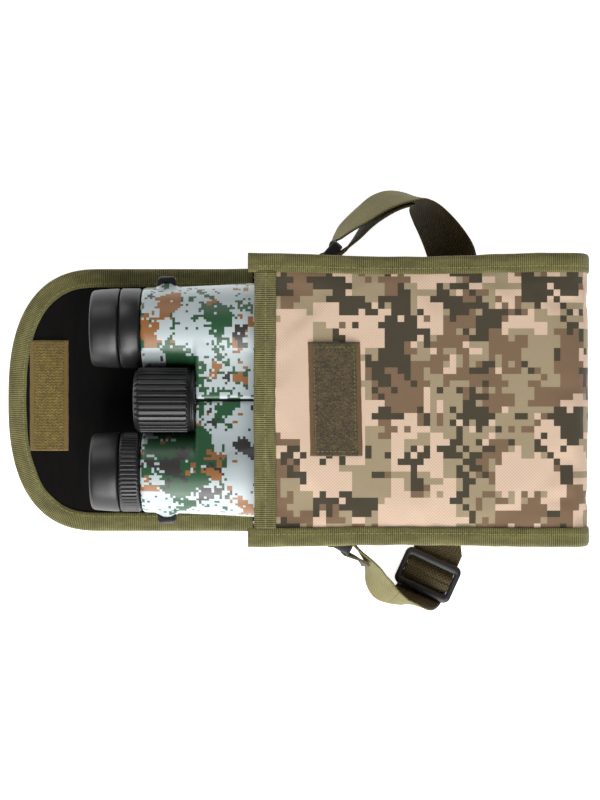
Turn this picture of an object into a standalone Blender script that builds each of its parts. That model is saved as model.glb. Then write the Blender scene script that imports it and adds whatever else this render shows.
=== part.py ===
"""Binocular pack: a padded, strapped pouch lying on its back, its flap open, and the roof-prism binocular it carries half drawn out.

All working dimensions are in millimetres in a design frame (+X to the pouch's bottom end, +Y to the binocular's left barrel, +Z up from the surface it lies on); SHIFT_X and SHIFT_Y move the whole model so that its origin is the centre of its bounding box's underside.
"""

import bpy
import bmesh
import math
from mathutils import Vector

MM = 0.001
SHIFT_X = 4.95         # model centre to origin
SHIFT_Y = 0.44

# pouch
FRONT_Z = 68.0         # outside of the front panel
BACK_Z = 3.4           # outside of the back panel, above two layers of strap
END_X = 140.5          # outside of the bottom end
MOUTH_X = -21.0        # mouth edge
BIND_X = -25.3         # side bindings run past the mouth
CORNER_R = 9.5
HALF_SHELL = 70.5      # shell and gusset seam allowance, half width
WALL_OUT = 65.0        # gusset, outside
WALL_IN = 63.8
BIND_HALF = 71.4       # over the bindings
BIND_EDGE = 62.2       # inner edge of the visible binding

# flap
HINGE_X, HINGE_Z = -27.0, 3.0      # living hinge at the back panel's mouth edge
FLAP_DEPTH = 69.5                  # hinge to fold, spans the pouch's depth
FOLD_X = HINGE_X - FLAP_DEPTH
FLAP_TIP_X = -151.3
FLAP_HALF = 68.0
FLAP_TOP = 3.9

# binocular
AX_Z = 34.5            # optical axes above the surface
IPD = 72.0
PIVOT_Z = 44.5         # hinge axle and focus wheel
LENS_END = 40.0
CUP_END = -106.0

# strap
STRAP_W = 25.0
STRAP_T = 1.4
LAYER = 1.7            # pitch of stacked strap layers
RING_BAR = 9.4         # ring, bar centre to bar centre
RING_X = {1: 12.0, -1: 15.6}       # where each tab's ring hangs
RING_TURN = {1: 48.0, -1: -29.0}   # and the angle it hangs at
TAB_Y = 69.35          # ring inner bar, distance from the centre plane
RING_Z = 32.0

for ob in list(bpy.data.objects):
    bpy.data.objects.remove(ob, do_unlink=True)


# ------------------------------------------------------------------ materials
def material(name, colour, rough, metal=0.0):
    m = bpy.data.materials.new(name)
    m.use_nodes = True
    b = m.node_tree.nodes["Principled BSDF"]
    b.inputs["Base Color"].default_value = (*colour, 1.0)
    b.inputs["Roughness"].default_value = rough
    b.inputs["Metallic"].default_value = metal
    m.diffuse_color = (*colour, 1.0)
    return m


CAMO_CLOTH = material("camo_cloth", (0.42, 0.33, 0.24), 0.9)
FOAM = material("foam", (0.5, 0.5, 0.48), 0.95)
LINING = material("lining_cloth", (0.02, 0.02, 0.02), 0.9)
BINDING = material("olive_binding", (0.17, 0.16, 0.06), 0.85)
WEBBING = material("olive_webbing", (0.14, 0.13, 0.06), 0.85)
LOOP = material("loop_tape", (0.08, 0.065, 0.03), 1.0)
HOOK = material("hook_tape", (0.22, 0.17, 0.03), 0.8)
PLASTIC = material("black_plastic", (0.015, 0.015, 0.017), 0.45)
ARMOUR = material("camo_armour", (0.35, 0.42, 0.38), 0.5)
RUBBER = material("black_rubber", (0.025, 0.025, 0.027), 0.6)
METAL = material("dark_metal", (0.1, 0.1, 0.11), 0.35, 0.9)
GLASS = material("coated_glass", (0.25, 0.3, 0.45), 0.05)


# -------------------------------------------------------------------- helpers
EMPTIES = {}


def body(name, pivot):
    """An empty on a joint's axis, which carries the pieces that move with it."""
    e = bpy.data.objects.new(name, None)
    e.empty_display_size = 0.01
    e.location = place(pivot)
    bpy.context.collection.objects.link(e)
    EMPTIES[name] = e
    return e


PUSHED_IN = [0.0]      # how far the pieces being made stand along X from their drawing


def place(p):
    return Vector(((p[0] + SHIFT_X + PUSHED_IN[0]) * MM, (p[1] + SHIFT_Y) * MM, p[2] * MM))


def finish(name, bm, mat, parent=None, smooth=True, angle=35.0):
    bmesh.ops.recalc_face_normals(bm, faces=bm.faces)
    if bm.calc_volume(signed=True) < 0:
        bmesh.ops.reverse_faces(bm, faces=bm.faces)
    origin = EMPTIES[parent].location if parent else Vector((0, 0, 0))
    for v in bm.verts:
        v.co = place(v.co) - origin
    me = bpy.data.meshes.new(name)
    bm.to_mesh(me)
    bm.free()
    me.materials.append(mat)
    if smooth:
        me.shade_smooth()
        me.set_sharp_from_angle(angle=math.radians(angle))
    ob = bpy.data.objects.new(name, me)
    bpy.context.collection.objects.link(ob)
    if parent:
        ob.parent = EMPTIES[parent]
    return ob


def loft(rings, loop=False):
    """A closed body through rings of the same number of points; its two ends are capped unless it runs round in a loop."""
    bm = bmesh.new()
    vs = [[bm.verts.new(p) for p in ring] for ring in rings]
    n = len(vs[0])
    pairs = list(zip(vs, vs[1:])) + ([(vs[-1], vs[0])] if loop else [])
    for a, b in pairs:
        for k in range(n):
            bm.faces.new((a[k], a[(k + 1) % n], b[(k + 1) % n], b[k]))
    if not loop:
        bm.faces.new(vs[0])
        bm.faces.new(list(reversed(vs[-1])))
    return bm


def box(lo, hi, bevel=0.0):
    rings = [
        [(lo[0], lo[1], z), (hi[0], lo[1], z), (hi[0], hi[1], z), (lo[0], hi[1], z)]
        for z in (lo[2], hi[2])
    ]
    bm = loft(rings)
    if bevel:
        bmesh.ops.bevel(bm, geom=list(bm.edges), offset=bevel, segments=2, profile=0.6, affect="EDGES")
    return bm


def turned_solid(profile, y, z, segs):
    """A solid turned about an axis along X, from (x, radius) points."""
    rings = [
        [
            (x, y + r * math.cos(2 * math.pi * k / segs), z + r * math.sin(2 * math.pi * k / segs))
            for k in range(segs)
        ]
        for x, r in profile
    ]
    return loft(rings)


def turned_ring(profile, y, z, segs):
    """A ring-shaped solid turned about an axis along X, from a closed outline of (x, radius) points."""
    rings = []
    for k in range(segs):
        a = 2 * math.pi * k / segs
        rings.append([(x, y + r * math.cos(a), z + r * math.sin(a)) for x, r in profile])
    return loft(rings, loop=True)


def tube(x0, x1, r_in, r_out, y, z, segs=24, chamfer=0.0):
    c = chamfer
    outline = [(x0, r_in), (x0, r_out - c), (x0 + c, r_out), (x1 - c, r_out), (x1, r_out - c), (x1, r_in)]
    if not c:
        outline = [(x0, r_in), (x0, r_out), (x1, r_out), (x1, r_in)]
    return turned_ring(outline, y, z, segs)


def lens(x0, x1, r, y, z, bulge, segs=24):
    """A biconvex glass: a short cylinder with a low dome on each side."""
    prof = []
    for k in (1, 2, 3):
        f = k / 3
        prof.append((x0 - bulge * (1 - f * f), r * f))
    for k in (3, 2, 1):
        f = k / 3
        prof.append((x1 + bulge * (1 - f * f), r * f))
    return turned_solid(prof, y, z, segs)


def cutter(name, bm, parent=None):
    ob = finish(name, bm, PLASTIC, parent, smooth=False)
    ob.hide_render = True
    ob.display_type = "WIRE"
    return ob


def boolean(ob, tool, operation):
    m = ob.modifiers.new(tool.name, "BOOLEAN")
    m.operation = operation
    m.object = tool
    m.solver = "EXACT"


# ------------------------------------------------------- pouch, swept round U
def u_path(start_x, end_x, segs=7):
    """The outside of the front panel, the bottom end and the back panel, from the mouth round to the mouth, as (x, z, outward normal x, outward normal z)."""
    pts = [(start_x, FRONT_Z, 0.0, 1.0), (60.0, FRONT_Z, 0.0, 1.0)]
    cx, cz = END_X - CORNER_R, FRONT_Z - CORNER_R
    for k in range(segs + 1):
        a = math.pi / 2 * (1 - k / segs)
        pts.append((cx + CORNER_R * math.cos(a), cz + CORNER_R * math.sin(a), math.cos(a), math.sin(a)))
    cz = BACK_Z + CORNER_R
    for k in range(segs + 1):
        a = -math.pi / 2 * k / segs
        pts.append((cx + CORNER_R * math.cos(a), cz + CORNER_R * math.sin(a), math.cos(a), math.sin(a)))
    pts += [(60.0, BACK_Z, 0.0, -1.0), (end_x, BACK_Z, 0.0, -1.0)]
    return pts


def u_sweep(profile, start_x, end_x, segs=7):
    """A strip swept round the U. The profile is a closed outline of (y, h), with h measured outward from the pouch's outside."""
    return loft([[(x + nx * h, y, z + nz * h) for y, h in profile] for x, z, nx, nz in u_path(start_x, end_x, segs)])


def strip(half, low, high):
    return [(-half, low), (half, low), (half, high), (-half, high)]


finish("outer_shell", u_sweep(strip(HALF_SHELL, -1.0, 0.0), MOUTH_X, BIND_X), CAMO_CLOTH)
finish("shell_foam", u_sweep(strip(63.4, -2.7, -1.3), MOUTH_X, BIND_X), FOAM)
finish("lining", u_sweep(strip(62.5, -3.6, -3.0), MOUTH_X, BIND_X), LINING)


def u_region(inset):
    """The outline of the pouch's side, as seen along Y, inset from its outside."""
    return [(x - nx * inset, z - nz * inset) for x, z, nx, nz in u_path(MOUTH_X, MOUTH_X)]


def gusset(side):
    """A side panel with its seam allowance turned out behind the shell's edge, like a shallow tray."""
    outer, inner = u_region(1.3), u_region(2.5)
    bm = bmesh.new()

    def ring(pts, y):
        return [bm.verts.new((x, side * y, z)) for x, z in pts]

    a0, a1 = ring(outer, WALL_IN), ring(outer, HALF_SHELL)
    b1, b0 = ring(inner, HALF_SHELL), ring(inner, WALL_OUT)
    n = len(outer)
    for k in range(n - 1):
        for p, q in ((a0, a1), (a1, b1), (b1, b0)):
            bm.faces.new((p[k], p[k + 1], q[k + 1], q[k]))
    bm.faces.new(a0)
    bm.faces.new(b0)
    bm.faces.new((a0[0], a1[0], b1[0], b0[0], b0[-1], b1[-1], a1[-1], a0[-1]))
    return bm


def side_plate(y0, y1, inset, side):
    pts = u_region(inset)
    return loft([[(x, side * y, z) for x, z in pts] for y in (y0, y1)])


def binding_profile(side):
    pts = [(BIND_EDGE, 0.9), (BIND_HALF - 0.5, 0.9), (BIND_HALF, 0.4), (BIND_HALF, -2.9), (BIND_HALF - 0.5, -3.4),
           (65.4, -3.4), (65.4, -2.8), (70.8, -2.8), (70.8, 0.3), (BIND_EDGE, 0.3)]
    return [(side * y, h) for y, h in pts]


for side, tag in ((1, "left"), (-1, "right")):
    finish("gusset_" + tag, gusset(side), CAMO_CLOTH)
    finish("gusset_lining_" + tag, side_plate(62.9, 63.5, 3.0, side), LINING)
    finish("edge_binding_" + tag, u_sweep(binding_profile(side), BIND_X, BIND_X), BINDING)

# the front panel's mouth hem: a tape folded over shell, foam and lining
hem = [(-11.4, FRONT_Z + 0.9), (-21.4, FRONT_Z + 0.9), (-21.9, FRONT_Z + 0.4), (-21.9, FRONT_Z - 4.2),
       (-21.4, FRONT_Z - 4.5), (-12.4, FRONT_Z - 4.5), (-12.4, FRONT_Z - 3.9), (-21.3, FRONT_Z - 3.9),
       (-21.3, FRONT_Z + 0.3), (-11.4, FRONT_Z + 0.3)]
finish("mouth_binding", loft([[(x, y, z) for x, z in hem] for y in (-61.8, 61.8)]), BINDING)
finish("loop_patch", box((4.4, -27.2, FRONT_Z + 0.3), (29.7, 28.0, FRONT_Z + 1.5)), LOOP)


# ------------------------------------------------------------------ webbing
def ribbon(path, width=STRAP_W, thick=STRAP_T):
    """Flat webbing through (centre, width direction, width factor) stations."""
    rings = []
    n = len(path)
    for k, (c, w, f) in enumerate(path):
        a = path[max(0, k - 1)][0]
        b = path[min(n - 1, k + 1)][0]
        t = (b - a).normalized()
        w = w.normalized()
        up = t.cross(w).normalized()
        h, q = w * (width * f / 2), up * (thick / 2)
        rings.append([tuple(c - h - q), tuple(c + h - q), tuple(c + h + q), tuple(c - h + q)])
    return loft(rings)


def catmull(points, steps):
    """Points of a smooth curve through the given tuples of numbers."""
    out = []
    n = len(points)
    for k in range(n - 1):
        p0, p1, p2, p3 = points[max(0, k - 1)], points[k], points[k + 1], points[min(n - 1, k + 2)]
        for s in range(steps):
            t = s / steps
            out.append([
                0.5 * ((2 * b) + (c - a) * t + (2 * a - 5 * b + 4 * c - d) * t * t + (3 * b - a - 3 * c + d) * t ** 3)
                for a, b, c, d in zip(p0, p1, p2, p3)
            ])
    out.append(list(points[-1]))
    return out


UP = Vector((0, 0, 1))
LOOP_R = 2.65 + STRAP_T / 2            # strap centre line round a ring bar


def arch(points, inward):
    """Stations from (x, y, z, lean) rows: lean is the angle of the webbing's upper edge from upright, in degrees, positive towards the inside of the arch; inward is +1 when the inside is on the left of the way along."""
    rows = catmull(points, 4)
    out = []
    for k, (x, y, z, lean) in enumerate(rows):
        a, b = rows[max(0, k - 1)], rows[min(len(rows) - 1, k + 1)]
        t = Vector((b[0] - a[0], b[1] - a[1], 0)).normalized()
        side = Vector((-t.y, t.x, 0)) * inward
        r = math.radians(lean)
        out.append((Vector((x, y, z)), UP * math.cos(r) + side * math.sin(r), 1.0))
    return out


def wrap(centre, start, sweep, steps=8):
    """Stations round an upright bar, from one angle through a sweep, in degrees."""
    out = []
    for k in range(steps + 1):
        a = math.radians(start + sweep * k / steps)
        out.append((Vector((centre[0] + LOOP_R * math.cos(a), centre[1] + LOOP_R * math.sin(a), RING_Z)), UP, 1.0))
    return out


def flat_run(a, b, z, w0, w1, f0=1.0, f1=1.0, steps=6, blend=0.12):
    """Stations of a flat run lying at height z; the width direction turns from w0 near its start to w1 near its end."""
    a, b = Vector((*a, z)), Vector((*b, z))
    across = UP.cross(b - a).normalized()
    if across.dot(w0) < 0:
        across = -across
    out = []
    for k in range(steps + 1):
        t = k / steps
        if t < 0.001:
            w, f = w0, f0
        elif t > 0.999:
            w, f = w1, f1
        else:
            w, f = across, 1.0
        out.append((a.lerp(b, t), w, f))
    return out


def turn_over(at, heading, w, f, z0, z1, steps=6):
    """Stations of a fold lying flat: from layer z0 to layer z1 round a half circle, going along heading and back."""
    heading = Vector((heading[0], heading[1], 0)).normalized()
    r, mid = (z1 - z0) / 2, (z0 + z1) / 2
    out = []
    for k in range(1, steps):
        a = math.pi * k / steps
        c = Vector((at[0], at[1], mid)) + heading * (abs(r) * math.sin(a)) - UP * (r * math.cos(a))
        out.append((c, w, f))
    return out


def ring_outer_bar(side):
    """Centre of a ring's free bar: the two rings hang at slightly different angles."""
    a = math.radians(RING_TURN[side])
    return (RING_X[side] + RING_BAR * math.cos(a), side * TAB_Y + RING_BAR * math.sin(a))


def rails(pairs, steps=3):
    """Stations from the webbing's upper and lower edge points."""
    out = []
    for r in catmull([(*t, *b) for t, b in pairs], steps):
        t, b = Vector(r[:3]), Vector(r[3:])
        out.append(((t + b) / 2, (t - b).normalized(), 1.0))
    return out


def strap_stations():
    up_bar, low_bar = ring_outer_bar(1), ring_outer_bar(-1)
    st = []
    # upper tail, sewn to the arch, back down to the ring
    st += rails([((57.6, 97.6, 39.4), (52.4, 102.4, 15.6)), ((50.6, 95.4, 40.6), (44.4, 103.8, 17.9)), ((43.6, 91.8, 41.8), (38.6, 98.4, 18.2)), ((36.4, 86.8, 43.2), (32.6, 90.6, 18.8)),
                   ((29.3, 80.2, 44.0), (27.3, 82.0, 19.2)), ((23.8, 76.0, 44.4), (23.4, 76.4, 19.4))])
    st += wrap(up_bar, -48, -172)
    # upper arch: out, over the crest and down flat beside the pouch
    st += rails([((20.3, 80.3, 44.2), (17.3, 83.1, 19.5)), ((25.9, 84.0, 43.6), (20.8, 89.4, 19.9)), ((34.8, 89.2, 42.8), (28.8, 97.4, 20.0)), ((42.4, 94.0, 42.0), (36.6, 103.8, 19.8)),
                    ((50.7, 97.7, 41.2), (45.0, 106.5, 18.6)), ((59.0, 99.9, 40.0), (54.6, 105.2, 16.0)), ((63.4, 100.4, 38.6), (57.8, 102.2, 14.4)), ((66.9, 99.6, 36.0), (56.2, 97.6, 13.6)),
                    ((72.3, 96.7, 31.0), (57.8, 92.8, 11.3)), ((80.1, 90.5, 22.4), (60.8, 86.8, 7.0)), ((86.0, 84.5, 13.6), (63.7, 80.8, 3.2)), ((89.8, 79.4, 6.2), (65.9, 75.2, 1.1)), ((91.84, 74.58, 0.7), (67.36, 69.42, 0.7))])
    # under the pouch: down, back up on top, and down again
    z0, z1 = STRAP_T / 2, STRAP_T / 2 + LAYER
    p0, pa, pb, p3 = (79.6, 72.0), (104.0, -44.0), (36.0, 46.0), (74.0, -75.5)

    def unit(a, b):
        return Vector((b[0] - a[0], b[1] - a[1], 0)).normalized()

    d1, d2, d3 = unit(p0, pa), unit(pa, pb), unit(pb, p3)

    def fold_line(a, b):
        f = (a + b).normalized()
        f = -f if f.x < 0 else f
        return f, 1.0 / abs(f.cross(a).length)

    fa, ka = fold_line(d1, d2)
    fb, kb = fold_line(d2, d3)
    w1 = Vector((-d1.y, d1.x, 0))
    w1 = -w1 if w1.x < 0 else w1
    w3 = Vector((-d3.y, d3.x, 0))
    w3 = -w3 if w3.x < 0 else w3
    run1 = flat_run(p0, pa, z0, w1, fa, 1.0, ka, 8)
    st += run1[1:]
    st += turn_over(pa, d1, fa, ka, z0, z1)
    st += flat_run(pa, pb, z1, fa, fb, ka, kb, 8)
    st += turn_over(pb, d2, fb, kb, z1, z0)
    st += flat_run(pb, p3, z0, fb, w3, kb, 1.0, 8)[:-1]
    return st, up_bar, low_bar


SLIDER_AT = (66.2, -90.6)
SLIDER_DIR = Vector((-math.sin(math.radians(24.5)), -math.cos(math.radians(24.5)), 0))   # along the strap, away from the pouch
SLIDER_ACROSS = Vector((SLIDER_DIR.y, -SLIDER_DIR.x, 0))


def slider_leg(along, z):
    c = Vector((SLIDER_AT[0], SLIDER_AT[1], z)) + SLIDER_DIR * along
    return c, -SLIDER_ACROSS, 1.0


def all_strap():
    st, up_bar, low_bar = strap_stations()
    # through the slider: under its end bars, over its centre bar
    hump = 3.9
    for s, z in ((-16.0, 0.7), (-11.5, 0.7), (-7.6, 0.7), (-6.2, 0.74), (-4.5, 1.7), (-2.9, hump - 0.3), (-1.4, hump + 0.1), (1.4, hump + 0.1), (2.9, hump - 0.3), (4.5, 1.7), (6.2, 0.74), (7.6, 0.7), (9.2, 0.7), (10.9, 0.75)):
        st.append(slider_leg(s, z))
    # stood on edge, round the bottom turn and up to the lower ring
    st += rails([((71.2, -106.4, 6.0), (49.6, -96.8, 1.2)), ((67.4, -107.0, 13.6), (50.0, -98.8, 2.3)), ((62.8, -105.6, 22.0), (53.6, -103.0, 2.7)), ((58.8, -102.9, 24.7), (56.2, -106.4, 1.5))])
    st += arch([
        (54.0, -103.6, 13.6, 12), (48.0, -100.9, 14.4, 22), (42.9, -97.4, 16.0, 30),
        (39.4, -92.4, 19.6, 27), (37.2, -86.6, 24.6, 18), (34.4, -81.2, 28.6, 8), (31.0, -77.0, 30.8, 3), (28.2, -73.9, 31.7, 1)], -1)
    st += wrap(low_bar, 55, 195)
    st += arch([(26.1, -78.5, 31.6, 1), (29.6, -80.2, 31.0, 3), (32.4, -82.5, 29.6, 7), (33.4, -83.8, 28.8, 9)], 1)
    # one side of the webbing stays its left side all the way along
    out = [st[0]]
    for c, w, f in st[1:]:
        if (c - out[-1][0]).length > 0.4:
            out.append((c, w if w.dot(out[-1][1]) > -0.2 else -w, f))
    return out


finish("shoulder_strap", ribbon(all_strap()), WEBBING)


def side_tab(side):
    """Webbing doubled round the ring's inner bar and sewn flat to the gusset."""
    y0, y1 = side * 66.0, side * 67.75
    bar = (RING_X[side], side * TAB_Y)
    st = [(Vector((38.0, y0, RING_Z)), UP, 1.0), (Vector((28.0, y0, RING_Z)), UP, 1.0), (Vector((bar[0] + 4.0, y0, RING_Z)), UP, 1.0)]
    st += [(Vector((bar[0] + LOOP_R * math.cos(a), bar[1] + side * LOOP_R * math.sin(a), RING_Z)), UP, 1.0)
           for a in [math.radians(-90 - 190 * k / 8) for k in range(9)]]
    st += [(Vector((bar[0] + 3.0, side * 71.2, RING_Z)), UP, 1.0), (Vector((bar[0] + 6.2, side * 68.6, RING_Z)), UP, 1.0), (Vector((bar[0] + 9.0, y1, RING_Z)), UP, 1.0),
           (Vector((30.0, y1, RING_Z)), UP, 1.0), (Vector((38.0, y1, RING_Z)), UP, 1.0)]
    return ribbon(st)


def rounded_rect(w, h, r, segs=3):
    pts = []
    for cx, cy, a0 in ((w / 2 - r, h / 2 - r, 0), (-w / 2 + r, h / 2 - r, 90), (-w / 2 + r, -h / 2 + r, 180), (w / 2 - r, -h / 2 + r, 270)):
        for k in range(segs + 1):
            a = math.radians(a0 + 90 * k / segs)
            pts.append((cx + r * math.cos(a), cy + r * math.sin(a)))
    return pts


def frame_bar(outer, inner, at, u, v, n, thick):
    """A flat frame: outer and inner outlines of the same number of points, in the plane of u and v, thick along n."""
    at = Vector(at)
    rings = []
    for (a, b), (c, d) in zip(outer, inner):
        o, i = at + u * a + v * b, at + u * c + v * d
        rings.append([tuple(o - n * thick / 2), tuple(o + n * thick / 2), tuple(i + n * thick / 2), tuple(i - n * thick / 2)])
    return loft(rings, loop=True)


for side, tag in ((1, "left"), (-1, "right")):
    finish("side_tab_" + tag, side_tab(side), WEBBING)
    bar = ring_outer_bar(side)
    inner_bar = (RING_X[side], side * TAB_Y)
    body("ring_pivot_" + tag, (*inner_bar, RING_Z))
    u = Vector((bar[0] - inner_bar[0], bar[1] - inner_bar[1], 0)).normalized()
    n = u.cross(UP)
    mid = ((bar[0] + inner_bar[0]) / 2, (bar[1] + inner_bar[1]) / 2, RING_Z)
    finish("ring_" + tag,
           frame_bar(rounded_rect(RING_BAR + 3.4, 33.4, 2.6), rounded_rect(RING_BAR - 3.4, 26.2, 0.8), mid, u, UP, n, 3.2),
           PLASTIC, "ring_pivot_" + tag, angle=40)

# slider: a flat frame over the strap, its centre bar lower, under the strap's hump
body("slider_origin", (*SLIDER_AT, 3.0))
sl = finish("strap_slider",
            frame_bar(rounded_rect(31.0, 20.4, 3.6), rounded_rect(25.8, 12.8, 1.0), (*SLIDER_AT, 3.2), SLIDER_ACROSS, SLIDER_DIR, UP, 3.0),
            PLASTIC, "slider_origin", angle=40)
bar_rings = []
for s in (-14.2, 14.2):
    c = Vector((*SLIDER_AT, 2.25)) + SLIDER_ACROSS * s
    bar_rings.append([tuple(c + SLIDER_DIR * a + UP * b) for a, b in ((-1.5, -0.5), (1.5, -0.5), (1.5, 0.5), (-1.5, 0.5))])
bar_tool = cutter("slider_bar_tool", loft(bar_rings), "slider_origin")
boolean(sl, bar_tool, "UNION")


# ---------------------------------------------------------------------- flap
def flap_outline(inset, n=26):
    """The flap's free end, from its left side round the tip to its right side, inset from its edge."""
    a, b, xc, p = 48.0, FLAP_HALF, -103.3, 2.5
    base = []
    for k in range(n + 1):
        t = math.pi / 2 - math.pi * k / n
        c, s = math.cos(t), math.sin(t)
        base.append((xc - a * max(c, 0.0) ** (2 / p), b * math.copysign(abs(s) ** (2 / p), s)))
    base = [(FOLD_X - 1.3, b)] + base + [(FOLD_X - 1.3, -b)]
    out = []
    m = len(base)
    for k, (x, y) in enumerate(base):
        x0, y0 = base[max(0, k - 1)]
        x1, y1 = base[min(m - 1, k + 1)]
        tx, ty = x1 - x0, y1 - y0
        ln = math.hypot(tx, ty)
        nx, ny = -ty / ln, tx / ln
        if k in (0, m - 1):
            nx, ny = 0.0, (-1.0 if k == 0 else 1.0)
        out.append((x + nx * inset, y + ny * inset))
    return out


def plate(outline, z0, z1):
    return loft([[(x, y, z) for x, y in outline] for z in (z0, z1)])


body("flap_hinge_axis", (HINGE_X, 0, HINGE_Z))
body("flap_fold_axis", (FOLD_X, 0, HINGE_Z))

x0, x1 = FOLD_X + 1.3, HINGE_X - 1.3
half = FLAP_HALF - 0.9
finish("flap_base_shell", box((x0, -half, 0.9), (x1, half, 1.9)), CAMO_CLOTH, "flap_hinge_axis", smooth=False)
finish("flap_base_lining", box((x0, -half, 2.2), (x1, half, 3.0)), LINING, "flap_hinge_axis", smooth=False)
flap_profile = [(9.5, 0.0), (0.4, 0.0), (0.0, 0.4), (0.0, 3.5), (0.4, 3.9), (9.5, 3.9), (9.5, 3.3), (0.6, 3.3), (0.6, 0.6), (9.5, 0.6)]
for side, tag in ((1, "left"), (-1, "right")):
    finish("flap_base_binding_" + tag,
           loft([[(x, side * (FLAP_HALF - d), z) for d, z in flap_profile] for x in (x0, x1)]),
           BINDING, "flap_hinge_axis")
finish("flap_tip_shell", plate(flap_outline(0.9), 0.9, 1.9), CAMO_CLOTH, "flap_fold_axis")
finish("flap_tip_lining", plate(flap_outline(0.9), 2.2, 3.0), LINING, "flap_fold_axis")
outlines = [(flap_outline(d), z) for d, z in flap_profile]
finish("flap_tip_binding",
       loft([[(o[k][0], o[k][1], z) for o, z in outlines] for k in range(len(outlines[0][0]))]),
       BINDING, "flap_fold_axis")
finish("hook_patch", box((-138.2, -26.3, 3.3), (-119.9, 31.0, 4.5)), HOOK, "flap_fold_axis")


# ----------------------------------------------------------------- binocular
PUSHED_IN[0] = 2.2     # the binocular is drawn out 2.2 mm less than its own zero
LY, RY = IPD / 2, -IPD / 2
body("bino_left_origin", (-40, 0, PIVOT_Z))
body("bino_right_hinge", (-40, 0, PIVOT_Z))
body("focus_wheel_axis", (-69, 0, PIVOT_Z))


def barrel(side, tag, parent):
    """One half of the armoured housing: a tapering tube with its half of the bridge and of the front hinge, bored for the optics and the axle."""
    y = side * IPD / 2
    outer = [(-81.0, 19.4), (-80.4, 20.0), (-60.0, 20.7), (-40.0, 21.6), (-21.0, 22.6), (5.0, 24.3), (22.0, 25.0), (35.4, 25.0), (36.0, 24.4)]
    ob = finish("barrel_" + tag, turned_solid(outer, y, AX_Z, 32), ARMOUR, parent, angle=30)
    lean = 0.0 if side > 0 else 1.9      # the right half's joint face leans back so it can fold down
    bridge = [(0.4, 50.4), (13.0, 51.0), (22.0, 52.6), (30.0, 54.4), (30.0, 18.0), (20.0, 22.0), (12.0, 26.0), (0.5 + lean, 28.0)]
    tool = cutter("bridge_tool_" + tag, loft([[(x, side * yy, zz) for yy, zz in bridge] for x in (-53.8, -18.6)]), parent)
    boolean(ob, tool, "UNION")
    # front hinge: the left half has two knuckles, the right half one between them
    for n, (a, b) in enumerate(((-18.2, -9.3), (0.6, 9.6)) if side > 0 else ((-9.0, 0.3),)):
        knuckle = []
        for k in range(13):
            t = math.pi / 2 + math.pi * k / 12
            knuckle.append((6.8 * math.cos(t), PIVOT_Z + 6.8 * math.sin(t)))
        outline = [(side * yy, zz) for yy, zz in knuckle] + [(side * yy, zz) for yy, zz in ((16.0, 38.0), (16.0, 50.0))]
        tool = cutter(f"knuckle_tool_{tag}_{n}", loft([[(x, yy, zz) for yy, zz in outline] for x in (a, b)]), parent)
        boolean(ob, tool, "UNION")
    bore = [(-83.0, 14.5), (-73.0, 14.5), (-71.0, 18.3), (-20.0, 20.2), (20.0, 22.2), (38.0, 22.2)]
    tool = cutter("bore_tool_" + tag, turned_solid(bore, y, AX_Z, 32), parent)
    boolean(ob, tool, "DIFFERENCE")
    tool = cutter("axle_bore_tool_" + tag, turned_solid([(-60.0, 3.6), (14.0, 3.6)], 0, PIVOT_Z, 20), parent)
    boolean(ob, tool, "DIFFERENCE")
    return ob


barrel(1, "left", "bino_left_origin")
barrel(-1, "right", "bino_right_hinge")
finish("hinge_axle", turned_solid([(-83.0, 3.1), (-82.6, 3.4), (9.8, 3.4), (9.8, 3.4)][:3], 0, PIVOT_Z, 20), METAL, "bino_left_origin")
finish("hinge_cap", turned_solid([(10.1, 6.4), (12.6, 6.4), (13.4, 5.6)], 0, PIVOT_Z, 24), RUBBER, "bino_left_origin")
finish("focus_wheel",
       turned_ring([(-84.0, 4.0), (-84.0, 14.6), (-82.4, 16.2), (-57.6, 16.2), (-57.0, 15.6), (-54.8, 15.6), (-54.2, 15.0), (-54.2, 4.0)], 0, PIVOT_Z, 36),
       RUBBER, "focus_wheel_axis")

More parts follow.
